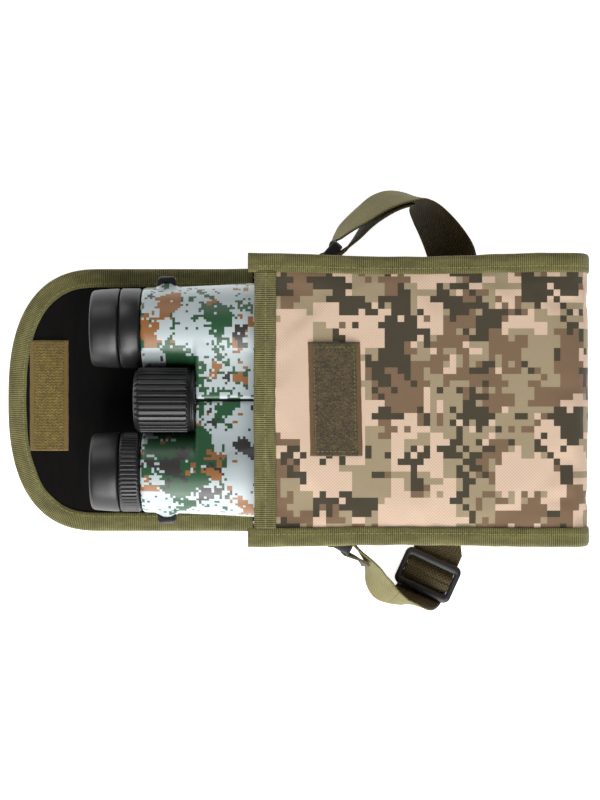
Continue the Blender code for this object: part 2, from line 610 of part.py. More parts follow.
for side, tag, parent in ((1, "left", "bino_left_origin"), (-1, "right", "bino_right_hinge")):
    y = side * IPD / 2
    # nested optics along one axis
    finish("eyepiece_tube_" + tag, tube(-94.0, -74.0, 11.5, 14.2, y, AX_Z), METAL, parent)
    finish("ocular_lens_" + tag, lens(-92.4, -89.4, 11.1, y, AX_Z, 1.0), GLASS, parent)
    finish("prism_" + tag, box((-52.0, y - 11.5, AX_Z - 11.5), (-26.0, y + 11.5, AX_Z + 11.5), 1.2), GLASS, parent, smooth=False)
    finish("objective_lens_" + tag, lens(28.0, 32.5, 21.7, y, AX_Z, 1.6, 28), GLASS, parent)
    finish("objective_ring_" + tag, tube(36.3, LENS_END, 20.6, 24.8, y, AX_Z, 32, 0.8), RUBBER, parent)
    body("focus_lens_origin_" + tag, (-6, y, AX_Z))
    finish("focus_lens_" + tag, lens(-8.0, -4.0, 17.6, y, AX_Z, 0.8), GLASS, "focus_lens_origin_" + tag)
    # twist-up eyecup on its helical sleeve
    body("eyecup_axis_" + tag, (-90, y, AX_Z))
    finish("eyecup_sleeve_" + tag, tube(-94.5, -83.0, 14.5, 15.7, y, AX_Z), METAL, "eyecup_axis_" + tag)
    body("eyecup_slide_" + tag, (-95, y, AX_Z))
    cup = [(CUP_END, 17.2), (CUP_END, 18.6), (-104.8, 19.9), (-92.0, 19.9), (-92.0, 16.9), (-84.0, 16.9), (-84.0, 16.0), (-96.5, 16.0), (-96.5, 12.0), (-98.0, 12.0), (-98.0, 13.2)]
    finish("eyecup_" + tag, turned_ring(cup, y, AX_Z, 32), RUBBER, "eyecup_slide_" + tag)
    # carrying-strap bar on the barrel's flank
    lug = [(-73.2, 57.2), (-73.2, 60.4), (-71.8, 61.8), (-65.6, 61.8), (-64.2, 60.4), (-64.2, 57.2), (-66.2, 57.2), (-66.2, 59.4), (-71.2, 59.4), (-71.2, 57.2)]
    finish("strap_lug_" + tag, loft([[(x, side * yy, z) for x, yy in lug] for z in (30.0, 39.0)]), RUBBER, parent, smooth=False)

finish("eyepiece_ring_left", tube(-91.7, -81.4, 17.2, 20.0, LY, AX_Z, 32, 0.5), RUBBER, "bino_left_origin")
body("diopter_axis", (-86, RY, AX_Z))
finish("diopter_ring", tube(-91.7, -81.4, 17.2, 20.0, RY, AX_Z, 32, 0.5), RUBBER, "diopter_axis")
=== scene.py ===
import math
import random

import bmesh
import bpy
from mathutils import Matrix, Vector, noise


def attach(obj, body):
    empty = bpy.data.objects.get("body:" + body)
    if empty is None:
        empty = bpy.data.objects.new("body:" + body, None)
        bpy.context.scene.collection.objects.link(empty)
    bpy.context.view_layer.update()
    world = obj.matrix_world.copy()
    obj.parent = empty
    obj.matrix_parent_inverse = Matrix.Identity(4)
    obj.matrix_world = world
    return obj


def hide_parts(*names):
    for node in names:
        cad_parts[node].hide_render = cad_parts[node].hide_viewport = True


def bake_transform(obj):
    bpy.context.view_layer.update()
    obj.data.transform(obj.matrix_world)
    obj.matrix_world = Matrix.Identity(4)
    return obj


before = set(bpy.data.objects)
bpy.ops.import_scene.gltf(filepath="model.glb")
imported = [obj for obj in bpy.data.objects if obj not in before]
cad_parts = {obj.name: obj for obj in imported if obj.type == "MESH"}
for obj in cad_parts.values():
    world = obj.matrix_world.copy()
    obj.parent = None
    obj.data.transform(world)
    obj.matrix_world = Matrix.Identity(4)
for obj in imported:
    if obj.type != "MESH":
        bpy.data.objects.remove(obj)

MM = 0.001
SX, SY = 4.95, 0.44          # the drawing's own zero, from the row frame's, in millimetres
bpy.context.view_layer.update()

FRONT_Z, BACK_Z, END_X, MOUTH_X, BIND_X, CORNER_R = 68.0, 3.4, 140.5, -21.0, -25.3, 9.5
HINGE_X, FOLD_X, FLAP_HALF, FLAP_SPLIT = -27.0, -96.5, 68.0, -62.0
AX_Z, IPD, PIVOT_Z = 34.5, 72.0, 44.5
STRAP_W, STRAP_T, LAYER = 25.0, 1.4, 1.7
RING_BAR, TAB_Y, RING_Z = 9.4, 69.35, 32.0
RING_X = {1: 12.0, -1: 15.6}      # the two tabs are sewn at slightly different places
RING_TURN = {1: 48.0, -1: -29.0}  # and their rings hang at different angles
UP = Vector((0, 0, 1))


PUSHED_IN = [0.0]            # how far the pieces being made stand along X from their drawing


def P(x, y, z):
    return Vector(((x + SX + PUSHED_IN[0]) * MM, (y + SY) * MM, z * MM))


def smooth01(t):
    t = min(1.0, max(0.0, t))
    return t * t * (3 - 2 * t)


def wob(a, b, c=0.0):
    """Smooth, repeatable unevenness, from -1 to 1."""
    return noise.noise(Vector((a, b, c)))


# ------------------------------------------------------------------ camera
cam = bpy.data.objects.new("camera", bpy.data.cameras.new("camera"))
bpy.context.collection.objects.link(cam)
cam.location = P(0, 0, 1000)
cam.data.lens = 86.54
cam.data.sensor_width = 36.0
cam.data.clip_start = 0.01
cam.data.clip_end = 20.0
bpy.context.scene.camera = cam


# --------------------------------------------------------------- materials
class Mat:
    """A small helper that writes a node material."""

    def __init__(self, name):
        self.m = bpy.data.materials.new(name)
        self.m.use_nodes = True
        self.t = self.m.node_tree
        self.t.nodes.clear()
        self.out = self.t.nodes.new("ShaderNodeOutputMaterial")
        self.b = self.t.nodes.new("ShaderNodeBsdfPrincipled")
        self.link(self.b.outputs[0], self.out.inputs[0])

    def link(self, a, b):
        self.t.links.new(a, b)

    def feed(self, socket, value):
        if isinstance(value, bpy.types.NodeSocket):
            self.link(value, socket)
        elif isinstance(value, (tuple, list)) and len(value) == 3 and socket.type == "RGBA":
            socket.default_value = (*value, 1.0)
        else:
            socket.default_value = value

    def set(self, name, value):
        self.feed(self.b.inputs[name], value)
        return self

    def math(self, op, a, b=None, c=None, clamp=False):
        n = self.t.nodes.new("ShaderNodeMath")
        n.operation = op
        n.use_clamp = clamp
        for k, v in enumerate((a, b, c)):
            if v is not None:
                self.feed(n.inputs[k], v)
        return n.outputs[0]

    def split(self, vec):
        n = self.t.nodes.new("ShaderNodeSeparateXYZ")
        self.feed(n.inputs[0], vec)
        return n.outputs[0], n.outputs[1], n.outputs[2]

    def vec(self, x, y, z):
        n = self.t.nodes.new("ShaderNodeCombineXYZ")
        for k, v in enumerate((x, y, z)):
            self.feed(n.inputs[k], v)
        return n.outputs[0]

    def cloth(self):
        """Along, across and side of a piece of cloth, in millimetres."""
        n = self.t.nodes.new("ShaderNodeAttribute")
        n.attribute_name = "cloth_co"
        return self.split(n.outputs["Vector"])

    def place(self):
        """Position on the piece, in millimetres."""
        n = self.t.nodes.new("ShaderNodeTexCoord")
        v = self.t.nodes.new("ShaderNodeVectorMath")
        v.operation = "SCALE"
        self.link(n.outputs["Object"], v.inputs[0])
        v.inputs["Scale"].default_value = 1000.0
        return v.outputs[0]

    def noise(self, vec, size, detail=2.0, rough=0.5, offset=None):
        if offset is not None:
            v = self.t.nodes.new("ShaderNodeVectorMath")
            v.operation = "ADD"
            self.feed(v.inputs[0], vec)
            v.inputs[1].default_value = offset
            vec = v.outputs[0]
        n = self.t.nodes.new("ShaderNodeTexNoise")
        self.feed(n.inputs["Vector"], vec)
        n.inputs["Scale"].default_value = 1.0 / size
        n.inputs["Detail"].default_value = detail
        n.inputs["Roughness"].default_value = rough
        return n.outputs["Fac"]

    def mix(self, fac, a, b):
        n = self.t.nodes.new("ShaderNodeMix")
        n.data_type = "RGBA"
        self.feed(n.inputs[0], fac)
        self.feed(n.inputs[6], a)
        self.feed(n.inputs[7], b)
        return n.outputs[2]

    def scale_colour(self, colour, factor):
        n = self.t.nodes.new("ShaderNodeVectorMath")
        n.operation = "SCALE"
        self.feed(n.inputs[0], colour)
        self.feed(n.inputs["Scale"], factor)
        return n.outputs[0]

    def wave(self, x, pitch, phase=0.0):
        """A sine from 0 to 1 with that pitch."""
        s = self.math("SINE", self.math("MULTIPLY_ADD", x, 2 * math.pi / pitch, phase))
        return self.math("MULTIPLY_ADD", s, 0.5, 0.5)

    def bump(self, height, distance, strength=1.0):
        n = self.t.nodes.new("ShaderNodeBump")
        n.inputs["Distance"].default_value = distance
        n.inputs["Strength"].default_value = strength
        self.link(height, n.inputs["Height"])
        self.link(n.outputs[0], self.b.inputs["Normal"])
        return self


def srgb(r, g, b):
    return tuple((c / 255 / 12.92) if c <= 10 else ((c / 255 + 0.055) / 1.055) ** 2.4 for c in (r, g, b))


def cell(m, x, size):
    """The middle of the square cell x is in."""
    return m.math("MULTIPLY", m.math("ADD", m.math("FLOOR", m.math("DIVIDE", x, size)), 0.5), size)


def blob(m, x, y, at, half, amount):
    """A low mound, for where a colour gathers."""
    dx = m.math("POWER", m.math("ABSOLUTE", m.math("DIVIDE", m.math("SUBTRACT", x, at[0]), half[0])), 2.0)
    dy = m.math("POWER", m.math("ABSOLUTE", m.math("DIVIDE", m.math("SUBTRACT", y, at[1]), half[1])), 2.0)
    return m.math("MULTIPLY", m.math("SUBTRACT", 1.0, m.math("ADD", dx, dy), clamp=True), amount)


def total(m, parts):
    out = parts[0]
    for p in parts[1:]:
        out = m.math("ADD", out, p)
    return out


def weave(m, u, v, pitch):
    """Plain weave: height of a checker of rounded yarn crossings."""
    a = m.math("SINE", m.math("MULTIPLY", u, math.pi / pitch))
    b = m.math("SINE", m.math("MULTIPLY", v, math.pi / pitch))
    return m.math("MULTIPLY_ADD", m.math("MULTIPLY", a, b), 0.5, 0.5)


def camo_cloth():
    m = Mat("camo_canvas")
    u, v, w = m.cloth()
    cu, cv = cell(m, u, 3.15), cell(m, v, 3.15)
    bu, bv = cell(m, u, 6.3), cell(m, v, 3.15)
    small, big = m.vec(cu, cv, w), m.vec(bu, bv, w)
    tan = total(m, [m.noise(big, 26.0, 4.0, 0.7, (11, 5, 40)),
                    blob(m, cu, cv, (48, 10), (26, 22), 0.10), blob(m, cu, cv, (115, 16), (20, 26), 0.10), blob(m, cu, cv, (30, 52), (18, 10), 0.10),
                    blob(m, cu, cv, (84, -30), (20, 18), 0.08),
                    blob(m, cu, cv, (-2, 10), (20, 36), -0.22), blob(m, cu, cv, (56, -56), (22, 12), -0.2), blob(m, cu, cv, (109, -36), (17, 14), -0.2)])
    brown = total(m, [m.noise(small, 19.0, 4.5, 0.74, (70, 31, 10)),
                      blob(m, cu, cv, (44, 5), (20, 16), 0.12), blob(m, cu, cv, (84, 20), (24, 22), 0.08), blob(m, cu, cv, (130, 22), (12, 26), 0.12),
                      blob(m, cu, cv, (-8, 52), (16, 10), 0.14), blob(m, cu, cv, (124, -52), (22, 14), 0.1), blob(m, cu, cv, (-4, -54), (18, 8), 0.08),
                      blob(m, cu, cv, (-2, 12), (20, 34), -0.25), blob(m, cu, cv, (54, -56), (20, 10), -0.15), blob(m, cu, cv, (108, -36), (15, 12), -0.15)])
    dark = total(m, [m.noise(small, 17.0, 4.5, 0.76, (3, 90, 20)),
                     blob(m, cu, cv, (48, 32), (17, 22), 0.14), blob(m, cu, cv, (76, 49), (15, 10), 0.13), blob(m, cu, cv, (118, 54), (24, 8), 0.13), blob(m, cu, cv, (-12, 56), (10, 7), 0.12),
                     blob(m, cu, cv, (131, -12), (11, 14), 0.16), blob(m, cu, cv, (22, -51), (18, 8), 0.14), blob(m, cu, cv, (82, 0), (18, 11), 0.1),
                     blob(m, cu, cv, (124, -58), (12, 8), 0.12),
                     blob(m, cu, cv, (-2, 12), (20, 34), -0.25), blob(m, cu, cv, (56, -56), (22, 11), -0.2), blob(m, cu, cv, (109, -36), (17, 13), -0.2),
                     blob(m, cu, cv, (106, 27), (12, 13), -0.1)])
    c = m.mix(m.math("GREATER_THAN", tan, 0.49), srgb(226, 197, 172), srgb(168, 151, 120))
    c = m.mix(m.math("GREATER_THAN", brown, 0.55), c, srgb(128, 102, 76))
    c = m.mix(m.math("GREATER_THAN", dark, 0.56), c, srgb(68, 60, 42))
    yarn = weave(m, u, v, 0.78)
    fibre = m.noise(m.vec(u, v, w), 0.5, 3.0, 0.6)
    tone = m.math("ADD", m.math("MULTIPLY_ADD", yarn, 0.24, 0.86), m.math("MULTIPLY_ADD", fibre, 0.12, -0.06))
    m.set("Base Color", m.scale_colour(c, tone)).set("Roughness", 0.82)
    m.set("Sheen Weight", 0.15).set("Sheen Roughness", 0.5)
    m.bump(m.math("ADD", yarn, m.math("MULTIPLY", fibre, 0.4)), 0.00016)
    return m.m


def ribbed_tape(name, light, dark, pitch=0.92):
    m = Mat(name)
    u, v, w = m.cloth()
    rib = m.wave(u, pitch)
    cross = m.wave(v, 0.55)
    yarn = m.math("MULTIPLY_ADD", cross, 0.25, m.math("MULTIPLY", rib, 0.75))
    long = m.noise(m.vec(m.math("MULTIPLY", u, 0.3), v, w), 3.2, 3.0, 0.6)
    fine = m.noise(m.vec(u, v, w), 0.45, 2.0, 0.6)
    fac = m.math("ADD", m.math("MULTIPLY", yarn, 0.85), m.math("ADD", m.math("MULTIPLY_ADD", long, 0.8, -0.42), m.math("MULTIPLY_ADD", fine, 0.5, -0.25)), clamp=True)
    m.set("Base Color", m.mix(fac, dark, light)).set("Roughness", 0.66)
    m.set("Sheen Weight", 0.08).set("Sheen Roughness", 0.45)
    m.bump(m.math("ADD", yarn, m.math("MULTIPLY", fine, 0.3)), 0.00028)
    return m.m


def webbing():
    """Coarse flat webbing: thick crosswise ribs broken by lengthwise yarns; the side towards the pouch is painted
    darker, as painted shade from the pouch.
    """
    m = Mat("olive_webbing_weave")
    u, v, w = m.cloth()
    shift = m.math("MULTIPLY", m.math("FLOOR", m.math("DIVIDE", v, 0.95)), math.pi)
    rib = m.math("MULTIPLY_ADD", m.math("SINE", m.math("ADD", m.math("MULTIPLY", u, 2 * math.pi / 2.0), shift)), 0.5, 0.5)
    col = m.wave(v, 0.95, -math.pi / 2)
    yarn = m.math("MULTIPLY", m.math("POWER", rib, 0.7), m.math("MULTIPLY_ADD", col, 0.6, 0.4))
    fine = m.noise(m.vec(u, v, w), 0.4, 2.0, 0.6)
    blotch = m.noise(m.vec(u, v, w), 9.0, 2.0, 0.6)
    fac = m.math("ADD", m.math("MULTIPLY", yarn, 0.75), m.math("ADD", m.math("MULTIPLY_ADD", fine, 0.4, -0.2), m.math("MULTIPLY_ADD", blotch, 0.3, -0.05)), clamp=True)
    outer = m.mix(fac, srgb(74, 68, 34), srgb(170, 161, 96))
    # painted shade: the face marked negative, towards the pouch, gets these darker colours to stand in for the pouch's
    # shadow on it
    inner = m.mix(fac, srgb(30, 25, 9), srgb(96, 83, 40))
    m.set("Base Color", m.mix(m.math("GREATER_THAN", w, 0.0), inner, outer)).set("Roughness", 0.72)
    m.set("Sheen Weight", 0.04).set("Sheen Roughness", 0.45)
    m.bump(m.math("ADD", yarn, m.math("MULTIPLY", fine, 0.3)), 0.0004)
    return m.m


def hook_loop(name, light, dark, edge, half_u, half_v, grain, rows):
    m = Mat(name)
    u, v, w = m.cloth()
    p = m.vec(u, v, w)
    fine = m.noise(p, grain, 3.0, 0.7)
    wide = m.noise(p, grain * 5, 2.0, 0.5)
    fac = m.math("ADD", m.math("MULTIPLY_ADD", fine, 2.4, -0.95), m.math("MULTIPLY_ADD", wide, 0.8, -0.4))
    if rows:
        fac = m.math("ADD", fac, m.math("MULTIPLY_ADD", m.wave(m.math("ADD", v, m.math("MULTIPLY", m.wave(u, 2.2), 0.5)), 1.5), 0.5, -0.25))
    fac = m.math("MAXIMUM", m.math("MINIMUM", fac, 1.0), 0.0)
    c = m.mix(fac, dark, light)
    rim = m.math("GREATER_THAN", m.math("ABSOLUTE", u), half_u)
    c = m.mix(rim, c, m.mix(m.math("MULTIPLY", m.wave(v, 0.9), 0.5), edge, dark))
    m.set("Base Color", c).set("Roughness", 0.9).set("Sheen Weight", 0.25).set("Sheen Roughness", 0.6)
    m.bump(fine, 0.0007)
    return m.m


def lining_cloth():
    m = Mat("black_lining")
    p = m.place()
    n = m.noise(p, 0.9, 3.0, 0.65)
    x, y, z = m.split(p)
    streak = m.noise(m.vec(m.math("MULTIPLY", x, 1.0), m.math("MULTIPLY", y, 0.12), z), 2.2, 3.0, 0.6)
    fac = m.math("ADD", m.math("MULTIPLY", n, 0.5), m.math("MULTIPLY", streak, 0.5))
    m.set("Base Color", m.mix(fac, srgb(4, 4, 4), srgb(26, 24, 23))).set("Roughness", 0.95).set("Specular IOR Level", 0.12)
    m.bump(fac, 0.0004)
    return m.m


def armour():
    """Printed digital camouflage on satin armour, wrapped round each barrel."""
    m = Mat("camo_armour_print")
    x, y, z = m.split(m.place())
    yc = m.math("SUBTRACT", y, SY)
    side = m.math("SIGN", yc)
    out = m.math("SUBTRACT", m.math("ABSOLUTE", yc), IPD / 2)
    ang = m.math("MULTIPLY", m.math("ARCTAN2", out, m.math("SUBTRACT", z, AX_Z)), 22.0)
    across = m.math("ADD", m.math("MULTIPLY", m.math("GREATER_THAN", out, 0.0), ang),
                    m.math("MULTIPLY", m.math("LESS_THAN", out, 0.0), out))
    v = m.math("MULTIPLY", m.math("ADD", across, IPD / 2), side)
    u = m.math("SUBTRACT", x, SX)
    cu, cv = cell(m, u, 1.28), cell(m, v, 1.28)
    small = m.vec(cu, cv, 0.0)
    streak = m.vec(cell(m, u, 2.56), cv, 0.0)
    green = total(m, [m.noise(small, 15.0, 5.0, 0.72, (20, 8, 3)),
                      blob(m, cu, cv, (-56, -30), (24, 20), 0.2), blob(m, cu, cv, (-44, 42), (14, 9), 0.12), blob(m, cu, cv, (-62, 24), (7, 16), 0.1),
                      blob(m, cu, cv, (-38, -12), (12, 14), 0.08), blob(m, cu, cv, (-36, 14), (10, 8), 0.1),
                      blob(m, cu, cv, (-56, 36), (14, 14), -0.06), blob(m, cu, cv, (-28, -32), (10, 18), -0.08), blob(m, cu, cv, (-30, 32), (12, 14), -0.06)])
    brown = total(m, [m.noise(streak, 12.0, 4.5, 0.66, (9, 40, 13)),
                      blob(m, cu, cv, (-74, 30), (7, 18), 0.16), blob(m, cu, cv, (-66, 50), (9, 12), 0.18), blob(m, cu, cv, (-30, 12), (16, 7), 0.14),
                      blob(m, cu, cv, (-44, -32), (12, 9), 0.12), blob(m, cu, cv, (-50, -10), (6, 8), 0.1), blob(m, cu, cv, (-26, -52), (10, 6), 0.14)])
    black = total(m, [m.noise(small, 11.0, 4.5, 0.68, (33, 71, 25)),
                      blob(m, cu, cv, (-62, -32), (8, 14), 0.14), blob(m, cu, cv, (-40, -46), (12, 8), 0.12), blob(m, cu, cv, (-30, 30), (6, 12), 0.1),
                      blob(m, cu, cv, (-26, -28), (6, 14), 0.1), blob(m, cu, cv, (-46, -4), (8, 4), 0.1)])
    speck = m.noise(small, 1.9, 1.0, 0.5, (3, 3, 60))
    c = m.mix(m.math("GREATER_THAN", speck, 0.7), srgb(188, 199, 202), srgb(48, 88, 64))
    c = m.mix(m.math("GREATER_THAN", green, 0.545), c, srgb(38, 84, 52))
    c = m.mix(m.math("GREATER_THAN", brown, 0.615), c, srgb(150, 100, 54))
    c = m.mix(m.math("GREATER_THAN", black, 0.63), c, srgb(54, 50, 50))
    c = m.mix(m.math("LESS_THAN", speck, 0.31), c, srgb(190, 201, 204))
    fine = m.noise(m.vec(x, y, z), 0.35, 2.0, 0.6)
    wear = m.noise(m.vec(x, y, z), 9.0, 3.0, 0.6)
    m.set("Base Color", m.scale_colour(c, m.math("MULTIPLY_ADD", wear, 0.1, 0.95)))
    m.set("Roughness", m.math("MULTIPLY_ADD", wear, 0.16, 0.30)).set("Coat Weight", 0.15).set("Coat Roughness", 0.3)
    m.bump(fine, 0.00004)
    return m.m


def moulded(name, low, high, rough, grain=0.5, depth=0.00006, metal=0.0, coat=0.0):
    m = Mat(name)
    p = m.place()
    fine = m.noise(p, grain, 3.0, 0.6)
    wide = m.noise(p, 14.0, 3.0, 0.6)
    m.set("Base Color", m.mix(m.math("MULTIPLY_ADD", wide, 0.7, m.math("MULTIPLY", fine, 0.3)), low, high))
    m.set("Roughness", m.math("MULTIPLY_ADD", wide, 0.14, rough - 0.07)).set("Metallic", metal)
    if coat:
        m.set("Coat Weight", coat).set("Coat Roughness", 0.3)
    m.bump(fine, depth)
    return m.m


def glass():
    m = Mat("coated_glass")
    lw = m.t.nodes.new("ShaderNodeLayerWeight")
    lw.inputs["Blend"].default_value = 0.4
    n = m.noise(m.place(), 6.0, 1.0)
    tint = m.mix(lw.outputs["Facing"], srgb(26, 34, 60), srgb(96, 60, 120))
    m.set("Base Color", m.scale_colour(tint, m.math("MULTIPLY_ADD", n, 0.2, 0.9)))
    m.set("Roughness", 0.04).set("IOR", 1.52).set("Coat Weight", 0.6).set("Coat Roughness", 0.03)
    return m.m


def thread(name, low, high):
    m = Mat(name)
    x, y, z = m.split(m.place())
    twist = m.wave(m.math("ADD", m.math("ADD", x, y), z), 0.5)
    m.set("Base Color", m.mix(twist, low, high)).set("Roughness", 0.55).set("Sheen Weight", 0.2)
    m.bump(twist, 0.00006)
    return m.m


def foam():
    m = Mat("foam_cells")
    n = m.noise(m.place(), 0.6, 2.0, 0.7)
    m.set("Base Color", m.mix(n, (0.35, 0.35, 0.33), (0.6, 0.6, 0.57))).set("Roughness", 0.95)
    m.bump(n, 0.0003)
    return m.m


CAMO = camo_cloth()
TAPE = ribbed_tape("olive_grosgrain", srgb(158, 152, 88), srgb(54, 49, 22), 1.0)
WEB = webbing()
LOOPS = hook_loop("loop_pile", srgb(124, 104, 64), srgb(58, 47, 26), srgb(122, 88, 46), 10.6, 99, 0.7, False)
HOOKS = hook_loop("hook_tape_weave", srgb(172, 146, 60), srgb(88, 70, 20), srgb(136, 108, 46), 7.6, 99, 0.6, True)
LINE = lining_cloth()
ARMOUR = armour()
RUBBER = moulded("black_rubber_fine", (0.006, 0.006, 0.0065), (0.014, 0.0135, 0.014), 0.36)
RUBBER_SOFT = moulded("eyecup_rubber", (0.007, 0.007, 0.0075), (0.016, 0.0155, 0.0155), 0.40, 0.35, 0.00005)
PLASTIC = moulded("black_acetal", (0.006, 0.0055, 0.0065), (0.014, 0.012, 0.0145), 0.42)
METAL = moulded("black_anodised", (0.05, 0.05, 0.055), (0.09, 0.09, 0.095), 0.35, 0.4, 0.00002, 0.9)
GLASS = glass()
THREAD = thread("olive_thread", srgb(120, 122, 52), srgb(168, 166, 84))
FOAM = foam()


# ------------------------------------------------------------ mesh helpers
def make(name, verts, faces, mat, coords=None, smooth=True, angle=None):
    me = bpy.data.meshes.new(name)
    me.from_pydata([P(*v) for v in verts], [], faces)
    bm = bmesh.new()
    bm.from_mesh(me)
    bmesh.ops.recalc_face_normals(bm, faces=bm.faces)
    if bm.calc_volume(signed=True) < 0:
        bmesh.ops.reverse_faces(bm, faces=bm.faces)
    bm.to_mesh(me)
    bm.free()
    if coords:
        a = me.attributes.new("cloth_co", "FLOAT_VECTOR", "POINT")
        a.data.foreach_set("vector", [c for co in coords for c in co])
    me.materials.append(mat)
    if smooth:
        me.shade_smooth()
        if angle:
            me.set_sharp_from_angle(angle=math.radians(angle))
    ob = bpy.data.objects.new(name, me)
    bpy.context.collection.objects.link(ob)
    return ob


def loft(name, rings, mat, coords=None, loop=False, smooth=True, angle=None):
    n = len(rings[0])
    verts = [p for r in rings for p in r]
    faces = []
    m = len(rings)
    for i in range(m if loop else m - 1):
        a, b = i * n, ((i + 1) % m) * n
        for k in range(n):
            faces.append((a + k, a + (k + 1) % n, b + (k + 1) % n, b + k))
    if not loop:
        faces.append(tuple(range(n)))
        faces.append(tuple(reversed(range((m - 1) * n, m * n))))
    flat = [c for r in coords for c in r] if coords else None
    return make(name, verts, faces, mat, flat, smooth, angle)


def slab(name, top, bottom, mat, coords, **kw):
    """A closed sheet between two grids of the same size."""
    rows, cols = len(top), len(top[0])
    verts = [p for r in top for p in r] + [p for r in bottom for p in r]
    co = [c for r in coords for c in r] + [(c[0], c[1], -c[2]) for r in coords for c in r]
    off = rows * cols
    faces = []
    for i in range(rows - 1):
        for j in range(cols - 1):
            a = i * cols + j
            faces.append((a, a + 1, a + cols + 1, a + cols))
            faces.append((off + a, off + a + cols, off + a + cols + 1, off + a + 1))
    for i in range(rows - 1):
        for j in (0, cols - 1):
            a, b = i * cols + j, (i + 1) * cols + j
            faces.append((a, b, off + b, off + a) if j == 0 else (b, a, off + a, off + b))
    for j in range(cols - 1):
        for i in (0, rows - 1):
            a, b = i * cols + j, i * cols + j + 1
            faces.append((b, a, off + a, off + b) if i == 0 else (a, b, off + b, off + a))
    return make(name, verts, faces, mat, co, **kw)


def turned(name, profile, y, z, mat, segs=96, ribs=None, angle=None):
    """A ring turned about an axis along X from a closed outline of (x, radius), with optional ribs as a function of angle, x and radius."""
    rings = []
    for k in range(segs):
        a = 2 * math.pi * k / segs
        row = []
        for x, r in profile:
            rr = r + (ribs(a, x, r) if ribs else 0.0)
            row.append((x, y + rr * math.sin(a), z + rr * math.cos(a)))
        rings.append(row)
    return loft(name, rings, mat, loop=True, angle=angle)


def arc_lengths(points):
    out = [0.0]
    for a, b in zip(points, points[1:]):
        out.append(out[-1] + (Vector(b) - Vector(a)).length)
    return out


def stitches(name, points, normals, mat=THREAD, length=2.3, gap=0.55, radius=0.17, lift=0.06):
    """Threads along a line: short bent capsules which dive into the cloth at their ends."""
    pts = [Vector(p) for p in points]
    nrm = [Vector(n).normalized() for n in normals]
    s = arc_lengths(pts)
    verts, faces = [], []

    def at(d):
        d = min(max(d, 0.0), s[-1] - 1e-6)
        k = max(i for i in range(len(s)) if s[i] <= d)
        k = min(k, len(pts) - 2)
        t = (d - s[k]) / max(1e-9, s[k + 1] - s[k])
        return pts[k].lerp(pts[k + 1], t), (pts[k + 1] - pts[k]).normalized(), nrm[k].lerp(nrm[k + 1], t).normalized()

    d = gap / 2
    while d + length < s[-1]:
        base = len(verts)
        rows = ((0.0, -0.16, 0.55), (0.18, lift * 0.7, 0.95), (0.5, lift, 1.0), (0.82, lift * 0.7, 0.95), (1.0, -0.16, 0.55))
        for f, h, rr in rows:
            c, t, n = at(d + length * f)
            b = t.cross(n).normalized()
            for k in range(6):
                a = math.pi * k / 3
                verts.append(tuple(c + n * (h + radius * rr * math.sin(a)) + b * (radius * 1.15 * rr * math.cos(a))))
        for i in range(4):
            for k in range(6):
                p, q = base + i * 6, base + (i + 1) * 6
                faces.append((p + k, p + (k + 1) % 6, q + (k + 1) % 6, q + k))
        faces.append(tuple(base + k for k in range(6)))
        faces.append(tuple(base + 24 + k for k in reversed(range(6))))
        d += length + gap
    return make(name, verts, faces, mat)


# ------------------------------------------------------------------- pouch
def u_path(start_x, end_x, step=2.2, corner=12):
    """The outside of the front panel, bottom end and back panel: (x, z, outward normal x, z, length along the cloth)."""
    pts = []
    n = int((END_X - CORNER_R - start_x) / step)
    for k in range(n):
        pts.append((start_x + (END_X - CORNER_R - start_x) * k / n, FRONT_Z, 0.0, 1.0))
    cx, cz = END_X - CORNER_R, FRONT_Z - CORNER_R
    for k in range(corner + 1):
        a = math.pi / 2 * (1 - k / corner)
        pts.append((cx + CORNER_R * math.cos(a), cz + CORNER_R * math.sin(a), math.cos(a), math.sin(a)))
    low = BACK_Z + CORNER_R
    n = int((cz - low) / step)
    for k in range(1, n):
        pts.append((END_X, cz + (low - cz) * k / n, 1.0, 0.0))
    for k in range(corner + 1):
        a = -math.pi / 2 * k / corner
        pts.append((cx + CORNER_R * math.cos(a), low + CORNER_R * math.sin(a), math.cos(a), math.sin(a)))
    n = int((cx - end_x) / step)
    for k in range(1, n + 1):
        pts.append((cx + (end_x - cx) * k / n, BACK_Z, 0.0, -1.0))
    s = [start_x]
    for a, b in zip(pts, pts[1:]):
        s.append(s[-1] + math.hypot(b[0] - a[0], b[1] - a[1]))
    return [(*p, u) for p, u in zip(pts, s)]


U_FRONT = END_X - CORNER_R
U_END0 = U_FRONT + math.pi / 2 * CORNER_R
U_END1 = U_END0 + (FRONT_Z - BACK_Z - 2 * CORNER_R)
U_BACK = U_END1 + math.pi / 2 * CORNER_R


